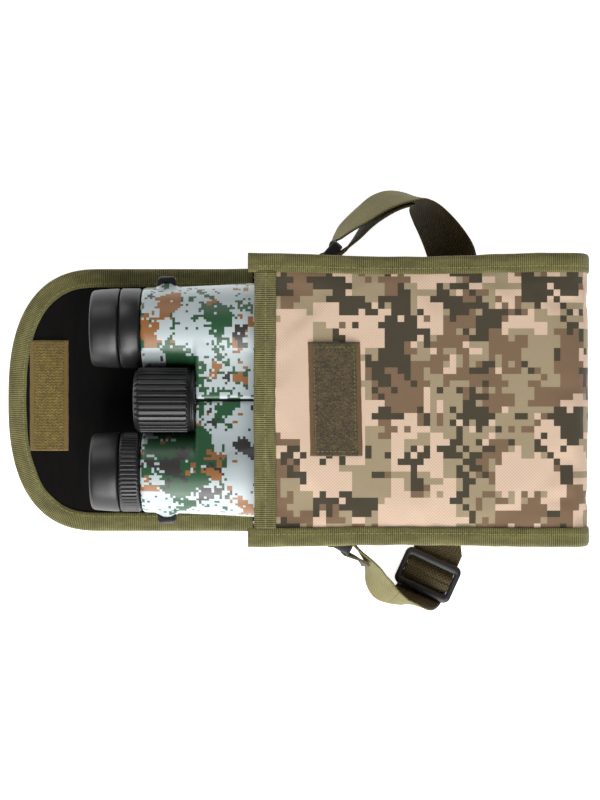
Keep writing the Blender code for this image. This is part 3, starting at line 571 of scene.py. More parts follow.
def simulate_puff():
    """The panel's outer cloth, a little larger than its frame of bindings, is pressed out by the foam behind it: a cloth simulation whose result is read as a height along the normal."""
    path = u_path(MOUTH_X, BIND_X, step=5.0, corner=4)
    cols = 27
    ys = [-62.4 + 124.8 * j / (cols - 1) for j in range(cols)]
    verts = [P(x, y, z) for x, z, nx, nz, u in path for y in ys]
    faces = []
    for i in range(len(path) - 1):
        for j in range(cols - 1):
            a = i * cols + j
            faces.append((a, a + cols, a + cols + 1, a + 1))
    me = bpy.data.meshes.new("puff_sim")
    me.from_pydata(verts, [], faces)
    ob = bpy.data.objects.new("puff_sim", me)
    bpy.context.collection.objects.link(ob)
    pin = ob.vertex_groups.new(name="pin")
    for i in range(len(path)):
        for j in range(cols):
            if i in (0, 1, len(path) - 1) or j in (0, cols - 1):
                pin.add([i * cols + j], 1.0, "REPLACE")
    md = ob.modifiers.new("cloth", "CLOTH")
    st = md.settings
    st.quality = 6
    st.mass = 0.25
    st.tension_stiffness = 25
    st.compression_stiffness = 25
    st.shear_stiffness = 8
    st.bending_stiffness = 1.5
    st.vertex_group_mass = "pin"
    st.shrink_min = -0.014
    st.use_pressure = True
    st.uniform_pressure_force = 1.6
    st.effector_weights.gravity = 0.0
    md.collision_settings.use_collision = False
    md.collision_settings.use_self_collision = False
    sc = bpy.context.scene
    start = sc.frame_current
    md.point_cache.frame_start = 1
    md.point_cache.frame_end = 26
    for f in range(1, 25):
        sc.frame_set(f)
    dg = bpy.context.evaluated_depsgraph_get()
    ev = ob.evaluated_get(dg)
    moved = [v.co.copy() for v in ev.to_mesh().vertices]
    ev.to_mesh_clear()
    sc.frame_set(start)
    grid = []
    for i, (x, z, nx, nz, u) in enumerate(path):
        row = []
        for j in range(cols):
            d = moved[i * cols + j] - Vector(verts[i * cols + j])
            h = (d.x * nx + d.z * nz) / MM
            row.append(h)
        grid.append((u, row))
    bpy.data.objects.remove(ob, do_unlink=True)
    return grid, ys


PUFF = None
PUFF = simulate_puff()


def puff(u, y):
    """How far the cloth stands out from the flat pattern, in millimetres."""
    e = max(0.0, 1.0 - (abs(y) / 62.4) ** 4)
    if PUFF:
        grid, ys = PUFF
        u = min(max(u, grid[0][0]), grid[-1][0])
        k = 0
        while k < len(grid) - 2 and grid[k + 1][0] < u:
            k += 1
        t = (u - grid[k][0]) / (grid[k + 1][0] - grid[k][0])
        f = min(max((y - ys[0]) / (ys[1] - ys[0]), 0.0), len(ys) - 1.001)
        j = int(f)
        g = f - j
        a = grid[k][1][j] * (1 - g) + grid[k][1][j + 1] * g
        b = grid[k + 1][1][j] * (1 - g) + grid[k + 1][1][j + 1] * g
        h = a * (1 - t) + b * t
        h = max(-0.7, min(1.5, h * 0.55))
    else:
        h = 1.2 * e * smooth01((u - MOUTH_X - 6) / 30)
    h += 0.35 * e * wob(u / 26, y / 22, 3.0) + 0.12 * e * wob(u / 8, y / 9, 7.0)
    # a pucker where the bottom end was turned, and the flattening where it lies on its strap
    pinch = math.exp(-((u - 132) / 10) ** 2 - ((y - 5) / 5.0) ** 2)
    h -= 0.9 * pinch
    if u > U_BACK:
        h = min(h, 0.0) * 0.6
    return h


def shell():
    path = u_path(MOUTH_X, BIND_X, step=2.0, corner=14)
    cols = 75
    ys = [-68.4 + 136.8 * j / (cols - 1) for j in range(cols)]
    top, low, co = [], [], []
    for x, z, nx, nz, u in path:
        a, b, c = [], [], []
        for y in ys:
            h = puff(u, y) if abs(y) < 62.4 else 0.0
            h = max(h, -0.9)
            g = -1.15 if abs(y) > 63.2 else -2.8
            a.append((x + nx * h, y, z + nz * h))
            b.append((x + nx * g, y, z + nz * g))
            c.append((u, y, 1.0))
        top.append(a)
        low.append(b)
        co.append(c)
    return slab("pouch_shell", top, low, CAMO, co)


shell_ob = shell()
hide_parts("outer_shell", "shell_foam")
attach(shell_ob, "pouch")


def lining():
    path = u_path(MOUTH_X + 0.4, BIND_X + 0.2, step=4.0, corner=6)
    cols = 33
    ys = [-62.6 + 125.2 * j / (cols - 1) for j in range(cols)]
    top, low, co = [], [], []
    for x, z, nx, nz, u in path:
        a, b, c = [], [], []
        for y in ys:
            e = 1.0 - (abs(y) / 62.6) ** 6
            h = -3.62 - 0.5 * e * abs(wob(u / 30, y / 26, 12.0))
            a.append((x + nx * h, y, z + nz * h))
            b.append((x + nx * -2.9, y, z + nz * -2.9))
            c.append((u, y, 1.0))
        top.append(a)
        low.append(b)
        co.append(c)
    return slab("pouch_lining", top, low, LINE, co)


lining_ob = lining()
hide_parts("lining")
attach(lining_ob, "pouch")


def side_outline(x, inset):
    """Lowest and highest z of the pouch's side at x, inset from its outside."""
    r, e = CORNER_R - inset, END_X - CORNER_R
    if x <= e:
        return BACK_Z + inset, FRONT_Z - inset
    d = math.sqrt(max(0.0, r * r - (x - e) ** 2))
    return BACK_Z + CORNER_R - d, FRONT_Z - CORNER_R + d


def side_panel(name, side, y_in, y_out, inset, bulge, mat):
    xs = [MOUTH_X + 0.3 + (END_X - CORNER_R - MOUTH_X) * k / 50 for k in range(50)]
    xs += [END_X - CORNER_R + (CORNER_R - inset) * math.sin(math.pi / 2 * k / 10) for k in range(11)]
    rows = 27
    top, low, co = [], [], []
    for x in xs:
        z0, z1 = side_outline(x, inset)
        a, b, c = [], [], []
        for j in range(rows):
            t = j / (rows - 1)
            z = z0 + (z1 - z0) * t
            e = smooth01((x - MOUTH_X) / 30) * smooth01((END_X - x) / 30) * (4 * t * (1 - t)) ** 0.8
            near = math.exp(-((x - 24) / 22) ** 2 - ((z - 32) / 20) ** 2)
            h = bulge * e * (1 - near) * (1 + 0.5 * wob(x / 24, z / 18, side * 5.0)) + 0.1 * e * wob(x / 7, z / 7, side * 9.0)
            a.append((x, side * (y_out + h), z))
            b.append((x, side * y_in, z))
            c.append((x, z + side * 90, 1.0))
        top.append(a)
        low.append(b)
        co.append(c)
    return slab(name, top, low, mat, co)


for side, tag in ((1, "left"), (-1, "right")):
    o = side_panel("side_panel_" + tag, side, 63.75, 65.0, 1.5, 1.1, CAMO)
    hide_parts("gusset_" + tag)
    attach(o, "pouch")
    o = side_panel("side_lining_" + tag, side, 63.6, 62.9, 3.0, -0.5, LINE)
    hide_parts("gusset_lining_" + tag)
    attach(o, "pouch")


def tape_profile(edge, half, top, low, under):
    """A tape folded over an edge, with soft corners: (y, h) all the way round, and the distance across the tape for each."""
    outer = [(edge, top - 0.62), (edge - 0.05, top - 0.3), (edge + 0.25, top - 0.02), (edge + 1.6, top + 0.12), (edge + 3.6, top + 0.16), (half - 2.6, top + 0.16),
             (half - 1.3, top - 0.02), (half - 0.45, top - 0.45), (half - 0.02, top - 1.2), (half, (top + low) / 2), (half - 0.05, low + 1.1), (half - 0.5, low + 0.35), (half - 1.4, low),
             (half - 3.2, low), (under + 0.3, low), (under, low + 0.3)]
    inner = [(under + 0.1, low + 0.6), (half - 1.8, low + 0.62), (half - 0.9, low + 1.2), (half - 0.62, (top + low) / 2), (half - 0.75, top - 1.3), (half - 1.7, top - 0.62)]
    across, d = [], 0.0
    for k, p in enumerate(outer):
        if k:
            d += math.hypot(p[0] - outer[k - 1][0], p[1] - outer[k - 1][1])
        across.append(d)
    back = [d - 0.4 - k * 0.8 for k in range(len(inner))]
    return outer + inner, across + back, [1.0] * len(outer) + [-1.0] * len(inner)


def bow(u, side):
    """The side seams draw in a little along the pouch and stand out at its corners."""
    if u > U_FRONT:
        return 0.25 * wob(u / 14, side * 3.0)
    t = (u + 25.3) / (U_FRONT + 25.3)
    return -1.9 * math.sin(math.pi * min(1.0, t * 1.04)) ** 2 * (1.0 if side > 0 else 0.55) * smooth01((1.06 - t) / 0.3) + 0.25 * wob(u / 11, side * 7.0)


for side, tag in ((1, "left"), (-1, "right")):
    prof, across, sides = tape_profile(62.0, 71.4, 0.85, -3.45, 65.4)
    rings, co, line, norm = [], [], [], []
    path = u_path(BIND_X, BIND_X, step=1.5, corner=16)
    for x, z, nx, nz, u in path:
        s = bow(u, side)
        lift = 0.12 * wob(u / 7, side * 11.0)
        near = min(abs(u - BIND_X), 99)
        row, crow = [], []
        for (y, h), a, w in zip(prof, across, sides):
            outer = smooth01((y - 62) / 6)
            hh = h + (lift if w > 0 else 0.0) + (-0.35 * (1 - smooth01(near / 3.0)) if h > 0 else 0.0)
            yy = y + s * (0.55 + 0.45 * outer)
            if u > U_BACK:
                hh = min(hh, 0.9)
            row.append((x + nx * hh, side * yy, z + nz * hh))
            crow.append((u, a, w))
        rings.append(row)
        co.append(crow)
        yy = 65.1 + s * 0.7
        line.append((x + nx * 1.02, side * yy, z + nz * 1.02))
        norm.append((nx, 0, nz))
    o = loft("pouch_binding_" + tag, rings, TAPE, co)
    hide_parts("edge_binding_" + tag)
    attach(o, "pouch")
    o = stitches("pouch_binding_thread_" + tag, line[3:], norm[3:])
    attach(o, "pouch")


def hem():
    prof = [(-11.4, 0.28), (-11.35, 0.72), (-11.8, 0.92), (-14.0, 1.02), (-18.5, 1.02), (-20.6, 0.9), (-21.7, 0.3), (-22.0, -0.8), (-22.0, -2.8), (-21.7, -3.9), (-20.6, -4.5),
            (-14.0, -4.55), (-12.4, -4.5), (-12.4, -3.95), (-20.2, -3.9), (-21.2, -2.9), (-21.2, -0.6), (-20.6, 0.2), (-14, 0.28)]
    across, d = [], 0.0
    for k, p in enumerate(prof):
        if k:
            d += math.hypot(p[0] - prof[k - 1][0], p[1] - prof[k - 1][1])
        across.append(d)
    rings, co, line, norm = [], [], [], []
    for k in range(97):
        y = -62.6 + 125.2 * k / 96
        bend = 0.35 * wob(y / 17, 21.0) - 0.5 * (1 - (y / 62) ** 2)
        lift = 0.12 * wob(y / 9, 25.0)
        rings.append([(x + bend, y, FRONT_Z + h + lift) for x, h in prof])
        co.append([(y, a, 1.0) for a in across])
        line.append((-16.4 + bend, y, FRONT_Z + 1.02 + lift))
        norm.append((0, 0, 1))
    return loft("mouth_hem", rings, TAPE, co), stitches("mouth_hem_thread", line, norm)


hem_ob, hem_thread = hem()
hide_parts("mouth_binding")
for o in (hem_ob, hem_thread):
    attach(o, "pouch")


def patch(name, x0, x1, y0, y1, base, thick, mat, tuft, skew=0.0):
    """A rectangle of hook or loop tape: its edge lies flat, its pile stands up in fine tufts."""
    nx, ny = int((x1 - x0) / 0.45), int((y1 - y0) / 0.45)
    mx, my = (x0 + x1) / 2, (y0 + y1) / 2
    rnd = random.Random(7)
    top, low, co = [], [], []
    for i in range(nx + 1):
        a, b, c = [], [], []
        x = x0 + (x1 - x0) * i / nx
        for j in range(ny + 1):
            y = y0 + (y1 - y0) * j / ny
            edge = min(x - x0, x1 - x, y - y0, y1 - y)
            rim = min(x - x0, x1 - x)
            z = base(x, y)
            pile = smooth01((rim - 2.0) / 1.0) * smooth01(edge / 0.5)
            h = thick * (0.55 * smooth01(edge / 0.35 + 0.25) + 0.3 * pile) + tuft * pile * (rnd.random() - 0.4)
            px = x + 0.15 * wob(y / 6, 31.0) * (1 if rim < 1 else 0) + skew * (y - my)
            a.append((px, y, z + h))
            b.append((px, y, z - 0.15))
            c.append((x - mx, y - my, 1.0))
        top.append(a)
        low.append(b)
        co.append(c)
    return slab(name, top, low, mat, co)


def front_at(x, y):
    return FRONT_Z + puff(x, y)


loop_ob = patch("loop_tape_patch", 4.4, 29.7, -27.2, 28.0, front_at, 1.5, LOOPS, 0.45, -0.022)
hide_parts("loop_patch")
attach(loop_ob, "pouch")


def rect_line(x0, x1, y0, y1, height, skew=0.0, step=1.2):
    corners = [(x0, y0), (x1, y0), (x1, y1), (x0, y1), (x0, y0)]
    pts = []
    for (a, b), (c, d) in zip(corners, corners[1:]):
        n = max(2, int(math.hypot(c - a, d - b) / step))
        pts += [(a + (c - a) * k / n, b + (d - b) * k / n) for k in range(n)]
    pts.append(corners[-1])
    my = (y0 + y1) / 2
    return [(x + skew * (y - my), y, height(x, y)) for x, y in pts]


PATCH_THREAD = thread("patch_thread", srgb(96, 100, 40), srgb(140, 144, 66))
ln = rect_line(7.2, 26.6, -24.9, 25.6, lambda x, y: front_at(x, y) + 1.3, -0.022)
o = stitches("loop_tape_thread", ln, [(0, 0, 1)] * len(ln), PATCH_THREAD, 1.5, 0.6, 0.17, 0.05)
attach(o, "pouch")


# -------------------------------------------------------------------- flap
def flap_lift(x):
    """The flap rises to the back panel's level at its hinge."""
    return 3.25 * smooth01((x + 40.0) / 14.0)


def flap_half(x, inset):
    a, b, xc, p = 48.0 - inset, FLAP_HALF - inset, -103.3, 2.5
    if x >= xc:
        return b
    t = min(1.0, (xc - x) / a)
    return b * (1 - t ** p) ** (1 / p)


def flap_xs(inset, part):
    if part == "inner":
        return [FLAP_SPLIT + (-24.4 - FLAP_SPLIT) * k / 26 for k in range(27)]
    tip = -103.3 - (48.0 - inset)
    xs = [tip + 0.02 + (-103.3 - tip) * (1 - math.cos(math.pi / 2 * k / 30)) for k in range(30)]
    return xs + [-103.3 + (FLAP_SPLIT + 103.3) * k / 24 for k in range(25)]


def bend(o, part):
    if part == "inner":
        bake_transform(o)
    else:
        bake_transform(o)


def flap_panel(name, part, z0, z1, inset, mat, pucker, sign):
    top, low, co = [], [], []
    cols = 41
    for x in flap_xs(inset, part):
        b = flap_half(x, inset)
        a, c, d = [], [], []
        for j in range(cols):
            y = b * (-1 + 2 * j / (cols - 1))
            e = smooth01((b - abs(y)) / 12)
            h = pucker * e * (0.6 * wob(x / 24, y / 20, 41.0) + 0.45 * wob(x / 9, y / 10, 43.0) + 0.4)
            z = flap_lift(x)
            hi, lo = (z1 + h, z0) if sign > 0 else (z1, z0 - h)
            a.append((x, y, max(0.05, hi + z)))
            c.append((x, y, max(0.05, lo + z)))
            d.append((x, y, sign))
        top.append(a)
        low.append(c)
        co.append(d)
    return slab(name, top, low, mat, co)


def flap_edge(part):
    """Points of the flap's edge from its left side round the tip to its right side, with inward normals."""
    a, b, xc, p = 48.0, FLAP_HALF, -103.3, 2.5
    if part == "inner":
        xs = [FLAP_SPLIT + (-24.4 - FLAP_SPLIT) * k / 26 for k in range(27)]
        return [[(x, b, 0.0, -1.0) for x in xs], [(x, -b, 0.0, 1.0) for x in xs]]
    base = [(FLAP_SPLIT + (xc - FLAP_SPLIT) * k / 24, b) for k in range(24)]
    n = 120
    for k in range(n + 1):
        t = math.pi / 2 - math.pi * k / n
        c, s = math.cos(t), math.sin(t)
        base.append((xc - a * max(c, 0.0) ** (2 / p), b * math.copysign(abs(s) ** (2 / p), s)))
    base += [(FLAP_SPLIT + (xc - FLAP_SPLIT) * k / 24, -b) for k in reversed(range(24))]
    # even spacing
    s = arc_lengths([(x, y, 0) for x, y in base])
    count = int(s[-1] / 1.6)
    even = []
    k = 0
    for i in range(count + 1):
        d = s[-1] * i / count
        while k < len(s) - 2 and s[k + 1] < d:
            k += 1
        t = (d - s[k]) / max(1e-9, s[k + 1] - s[k])
        even.append((base[k][0] + (base[k + 1][0] - base[k][0]) * t, base[k][1] + (base[k + 1][1] - base[k][1]) * t))
    out = []
    for i, (x, y) in enumerate(even):
        x0, y0 = even[max(0, i - 2)]
        x1, y1 = even[min(len(even) - 1, i + 2)]
        ln = math.hypot(x1 - x0, y1 - y0)
        nx, ny = -(y1 - y0) / ln, (x1 - x0) / ln
        if i in (0, len(even) - 1):
            nx, ny = 0.0, (-1.0 if i == 0 else 1.0)
        out.append((x, y, nx, ny))
    return [out]


def flap_tape(name, pts, u0, thread_name):
    prof = [(9.6, 3.25), (9.65, 3.7), (9.2, 3.95), (7.0, 4.08), (4.0, 4.08), (1.8, 3.95), (0.6, 3.5), (0.05, 2.7), (0.0, 1.95), (0.05, 1.2), (0.6, 0.4), (1.8, 0.05), (4.0, 0.0),
            (9.2, 0.0), (9.5, 0.3), (9.4, 0.62), (3.0, 0.62), (1.3, 1.0), (0.75, 1.95), (1.3, 2.9), (3.0, 3.25)]
    across, d = [], 0.0
    for k, q in enumerate(prof):
        if k:
            d += math.hypot(q[0] - prof[k - 1][0], q[1] - prof[k - 1][1])
        across.append(d)
    s = arc_lengths([(x, y, 0) for x, y, _, _ in pts])
    rings, co, line = [], [], []
    for (x, y, nx, ny), u in zip(pts, s):
        w = 0.3 * wob(u / 13, 51.0 + u0)
        lift = 0.12 * wob(u / 8, 55.0 + u0)
        row = []
        for dd, z in prof:
            inner = smooth01(dd / 9)
            q = dd + w * inner
            row.append((x + nx * q, y + ny * q, z + flap_lift(x) + (lift if z > 2 else 0.0)))
        rings.append(row)
        co.append([(u + u0, a, 1.0) for a in across])
        line.append((x + nx * 7.9, y + ny * 7.9, 4.02 + flap_lift(x) + lift))
    o = loft(name, rings, TAPE, co)
    t = stitches(thread_name, line, [(0, 0, 1)] * len(line), lift=0.06)
    return o, t


for part in ("inner", "outer"):
    o = flap_panel("flap_shell_" + part, part, 0.6, 2.0, 1.4, CAMO, 0.35, -1)
    bend(o, part)
    o = flap_panel("flap_lining_" + part, part, 1.9, 3.05, 1.4, LINE, 0.55, 1)
    bend(o, part)
    for k, pts in enumerate(flap_edge(part)):
        tag = "tip" if part == "outer" else ("left", "right")[k]
        o, t = flap_tape("flap_binding_" + tag, pts, 3.0 * k, "flap_thread_" + tag)
        for q in (o, t):
            bend(q, part)
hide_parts("flap_base_shell")
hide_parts("flap_base_lining")
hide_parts("flap_base_binding_left")
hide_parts("flap_base_binding_right")
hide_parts("flap_tip_shell")
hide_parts("flap_tip_lining")
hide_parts("flap_tip_binding")

hook_ob = patch("hook_tape_patch", -140.0, -119.9, -26.3, 31.0, lambda x, y: 3.25, 1.2, HOOKS, 0.4)
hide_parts("hook_patch")
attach(hook_ob, "flap_tip")
ln = rect_line(-137.6, -122.6, -24.4, 29.1, lambda x, y: 4.28)
HOOK_THREAD = thread("hook_thread", srgb(92, 76, 30), srgb(140, 118, 54))
o = stitches("hook_tape_thread", ln, [(0, 0, 1)] * len(ln), HOOK_THREAD, 1.5, 0.6, 0.16, 0.04)
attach(o, "flap_tip")


# ----------------------------------------------------------------- webbing
LOOP_R = 2.65 + STRAP_T / 2


def catmull(points, steps):
    out = []
    n = len(points)
    for k in range(n - 1):
        p0, p1, p2, p3 = points[max(0, k - 1)], points[k], points[k + 1], points[min(n - 1, k + 2)]
        for s in range(steps):
            t = s / steps
            out.append([
                0.5 * ((2 * b) + (c - a) * t + (2 * a - 5 * b + 4 * c - d) * t * t + (3 * b - a - 3 * c + d) * t ** 3)
                for a, b, c, d in zip(p0, p1, p2, p3)
            ])
    out.append(list(points[-1]))
    return out


def arch(points, inward, steps=8):
    rows = catmull(points, steps)
    out = []
    for k, (x, y, z, lean) in enumerate(rows):
        a, b = rows[max(0, k - 1)], rows[min(len(rows) - 1, k + 1)]
        t = Vector((b[0] - a[0], b[1] - a[1], 0)).normalized()
        side = Vector((-t.y, t.x, 0)) * inward
        r = math.radians(lean)
        out.append((Vector((x, y, z)), UP * math.cos(r) + side * math.sin(r), 1.0))
    return out


def wrap(centre, start, sweep, steps=20):
    out = []
    for k in range(steps + 1):
        a = math.radians(start + sweep * k / steps)
        out.append((Vector((centre[0] + LOOP_R * math.cos(a), centre[1] + LOOP_R * math.sin(a), RING_Z)), UP, 1.0))
    return out


def flat_run(a, b, z, w0, w1, f0=1.0, f1=1.0, steps=6):
    a, b = Vector((*a, z)), Vector((*b, z))
    across = UP.cross(b - a).normalized()
    if across.dot(w0) < 0:
        across = -across
    out = []
    for k in range(steps + 1):
        t = k / steps
        if t < 0.001:
            w, f = w0, f0
        elif t > 0.999:
            w, f = w1, f1
        else:
            w, f = across, 1.0
        out.append((a.lerp(b, t), w, f))
    return out


def turn_over(at, heading, w, f, z0, z1, steps=6):
    heading = Vector((heading[0], heading[1], 0)).normalized()
    r, mid = (z1 - z0) / 2, (z0 + z1) / 2
    out = []
    for k in range(1, steps):
        a = math.pi * k / steps
        c = Vector((at[0], at[1], mid)) + heading * (abs(r) * math.sin(a)) - UP * (r * math.cos(a))
        out.append((c, w, f))
    return out


def ring_outer_bar(side):
    a = math.radians(RING_TURN[side])
    return (RING_X[side] + RING_BAR * math.cos(a), side * TAB_Y + RING_BAR * math.sin(a))


SLIDER_AT = (66.2, -90.6)
SLIDER_DIR = Vector((-math.sin(math.radians(24.5)), -math.cos(math.radians(24.5)), 0))
SLIDER_ACROSS = Vector((SLIDER_DIR.y, -SLIDER_DIR.x, 0))
UP_BAR, LOW_BAR = ring_outer_bar(1), ring_outer_bar(-1)


def rails(pairs, steps=6):
    """Stations from the webbing's upper and lower edge points."""
    out = []
    for r in catmull([(*t, *b) for t, b in pairs], steps):
        t, b = Vector(r[:3]), Vector(r[3:])
        out.append(((t + b) / 2, (t - b).normalized(), 1.0))
    return out


def strap_parts():
    upper = rails([((57.6, 97.6, 39.4), (52.4, 102.4, 15.6)), ((50.6, 95.4, 40.6), (44.4, 103.8, 17.9)), ((43.6, 91.8, 41.8), (38.6, 98.4, 18.2)), ((36.4, 86.8, 43.2), (32.6, 90.6, 18.8)),
                   ((29.3, 80.2, 44.0), (27.3, 82.0, 19.2)), ((23.8, 76.0, 44.4), (23.4, 76.4, 19.4))])
    upper += wrap(UP_BAR, -48, -172)
    upper += rails([((20.3, 80.3, 44.2), (17.3, 83.1, 19.5)), ((25.9, 84.0, 43.6), (20.8, 89.4, 19.9)), ((34.8, 89.2, 42.8), (28.8, 97.4, 20.0)), ((42.4, 94.0, 42.0), (36.6, 103.8, 19.8)),
                    ((50.7, 97.7, 41.2), (45.0, 106.5, 18.6)), ((59.0, 99.9, 40.0), (54.6, 105.2, 16.0)), ((63.4, 100.4, 38.6), (57.8, 102.2, 14.4)), ((66.9, 99.6, 36.0), (56.2, 97.6, 13.6)),
                    ((72.3, 96.7, 31.0), (57.8, 92.8, 11.3)), ((80.1, 90.5, 22.4), (60.8, 86.8, 7.0)), ((86.0, 84.5, 13.6), (63.7, 80.8, 3.2)), ((89.8, 79.4, 6.2), (65.9, 75.2, 1.1)), ((91.84, 74.58, 0.7), (67.36, 69.42, 0.7))])
    z0, z1 = STRAP_T / 2, STRAP_T / 2 + LAYER
    p0, pa, pb, p3 = (79.6, 72.0), (104.0, -44.0), (36.0, 46.0), (74.0, -75.5)

    def unit(a, b):
        return Vector((b[0] - a[0], b[1] - a[1], 0)).normalized()

    d1, d2, d3 = unit(p0, pa), unit(pa, pb), unit(pb, p3)

    def fold_line(a, b):
        f = (a + b).normalized()
        f = -f if f.x < 0 else f
        return f, 1.0 / abs(f.cross(a).length)

    fa, ka = fold_line(d1, d2)
    fb, kb = fold_line(d2, d3)
    w1 = Vector((-d1.y, d1.x, 0))
    w1 = -w1 if w1.x < 0 else w1
    w3 = Vector((-d3.y, d3.x, 0))
    w3 = -w3 if w3.x < 0 else w3
    run = flat_run(p0, pa, z0, w1, fa, 1.0, ka, 8)[1:]
    upper += run[:1]
    middle = run[:]
    middle += turn_over(pa, d1, fa, ka, z0, z1)
    middle += flat_run(pa, pb, z1, fa, fb, ka, kb, 8)
    middle += turn_over(pb, d2, fb, kb, z1, z0)
    middle += flat_run(pb, p3, z0, fb, w3, kb, 1.0, 8)[:-1]
    hump = 3.9
    legs = [(-16.0, 0.7), (-11.5, 0.7), (-7.6, 0.7), (-6.2, 0.74), (-4.5, 1.7), (-2.9, hump - 0.3), (-1.4, hump + 0.1), (1.4, hump + 0.1), (2.9, hump - 0.3), (4.5, 1.7), (6.2, 0.74), (7.6, 0.7), (9.2, 0.7), (10.9, 0.75)]

    def slider_leg(s, z):
        return Vector((*SLIDER_AT, z)) + SLIDER_DIR * s, -SLIDER_ACROSS, 1.0

    middle += [slider_leg(s, z) for s, z in legs[:7]] + [slider_leg(0.0, hump + 0.12)]
    lower = [slider_leg(0.0, hump + 0.12)] + [slider_leg(s, z) for s, z in legs[7:]]
    turn = rails([((71.2, -106.4, 6.0), (49.6, -96.8, 1.2)), ((67.4, -107.0, 13.6), (50.0, -98.8, 2.3)), ((62.8, -105.6, 22.0), (53.6, -103.0, 2.7)), ((58.8, -102.9, 24.7), (56.2, -106.4, 1.5))])
    cut = len(turn) + 8
    turn += arch([(54.0, -103.6, 13.6, 12), (48.0, -100.9, 14.4, 22), (42.9, -97.4, 16.0, 30),
                  (39.4, -92.4, 19.6, 27), (37.2, -86.6, 24.6, 18), (34.4, -81.2, 28.6, 8), (31.0, -77.0, 30.8, 3), (28.2, -73.9, 31.7, 1)], -1, 8)
    lower += turn[:cut + 1]
    tail = turn[cut:]
    tail += wrap(LOW_BAR, 55, 195)
    tail += arch([(26.1, -78.5, 31.6, 1), (29.6, -80.2, 31.0, 3), (32.4, -82.5, 29.6, 7), (33.4, -83.8, 28.8, 9)], 1)
    return upper, middle, lower, tail


def tidy(stations, last=None):
    """One side of the webbing stays its left side all the way along."""
    out = []
    for c, w, f in stations:
        w = w.normalized()
        ref = out[-1][1] if out else last
        if ref is not None and w.dot(ref) < -0.2:
            w = -w
        if out and (c - out[-1][0]).length < 0.35:
            continue
        out.append((c, w, f))
    return out


def resample(stations, step=1.1, curved=True):
    rows = [(*c, *(w * f)) for c, w, f in stations]
    out = [rows[0]]
    for k in range(len(rows) - 1):
        d = (Vector(rows[k + 1][:3]) - Vector(rows[k][:3])).length
        n = max(1, int(round(d / step)))
        seg = rows[max(0, k - 1)], rows[k], rows[k + 1], rows[min(len(rows) - 1, k + 2)]
        for s in range(1, n + 1):
            t = s / n
            if curved:
                out.append([0.5 * ((2 * b) + (c - a) * t + (2 * a - 5 * b + 4 * c - e) * t * t + (3 * b - a - 3 * c + e) * t ** 3) for a, b, c, e in zip(*seg)])
            else:
                out.append([b + (c - b) * t for b, c in zip(seg[1], seg[2])])
    return out


def web(name, stations, mat, u0=0.0, width=STRAP_W, thick=STRAP_T, curved=True, flip=1.0, step=1.1):
    """Woven tape through its stations, a slim rounded section."""
    rows = resample(stations, step, curved)
    n = len(rows)
    cs = [Vector(r[:3]) for r in rows]
    s = arc_lengths(cs)
    half = width / 2
    vs = [-1.0, -0.985, -0.94, -0.7, -0.4, 0.0, 0.4, 0.7, 0.94, 0.985, 1.0]
    th = [0.35, 0.72, 0.96, 1.0, 1.0, 1.0, 1.0, 1.0, 0.96, 0.72, 0.35]
    rings, co = [], []
    for k in range(n):
        t = (cs[min(n - 1, k + 1)] - cs[max(0, k - 1)]).normalized()
        w = Vector(rows[k][3:])
        f = w.length
        w.normalize()
        up = t.cross(w).normalized()
        row, crow = [], []
        # the third coordinate, flip on one face and -flip on the other, picks the face that the webbing material paints
        # darker as painted shade
        for v, q in zip(vs, th):
            q3 = cs[k] + w * (half * f * v) + up * (thick / 2 * q)
            row.append((q3.x, q3.y, max(q3.z, 0.02)))
            crow.append((u0 + s[k], half * v, flip))
        for v, q in zip(reversed(vs), reversed(th)):
            q3 = cs[k] + w * (half * f * v) - up * (thick / 2 * q)
            row.append((q3.x, q3.y, max(q3.z, 0.02)))
            crow.append((u0 + s[k], half * v, -flip))
        rings.append(row)
        co.append(crow)
    return loft(name, rings, mat, co), s[-1], cs


upper, middle, lower, tail = strap_parts()
upper = tidy(upper)
middle = tidy(middle, upper[-1][1])
lower = tidy(lower, middle[-1][1])
tail = tidy(tail, lower[-1][1])
at = 0.0
straps = {}
for name, st, curved in (("strap_upper", upper, True), ("strap_middle", middle, False), ("strap_lower", lower, True), ("strap_tail", tail, True)):
    ob, length, cs = web(name, st, WEB, at, curved=curved, flip=-1.0)
    straps[name] = (ob, length)
    at += length
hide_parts("shoulder_strap")
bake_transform(straps["strap_upper"][0])
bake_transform(straps["strap_middle"][0])
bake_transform(straps["strap_lower"][0])
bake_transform(straps["strap_tail"][0])


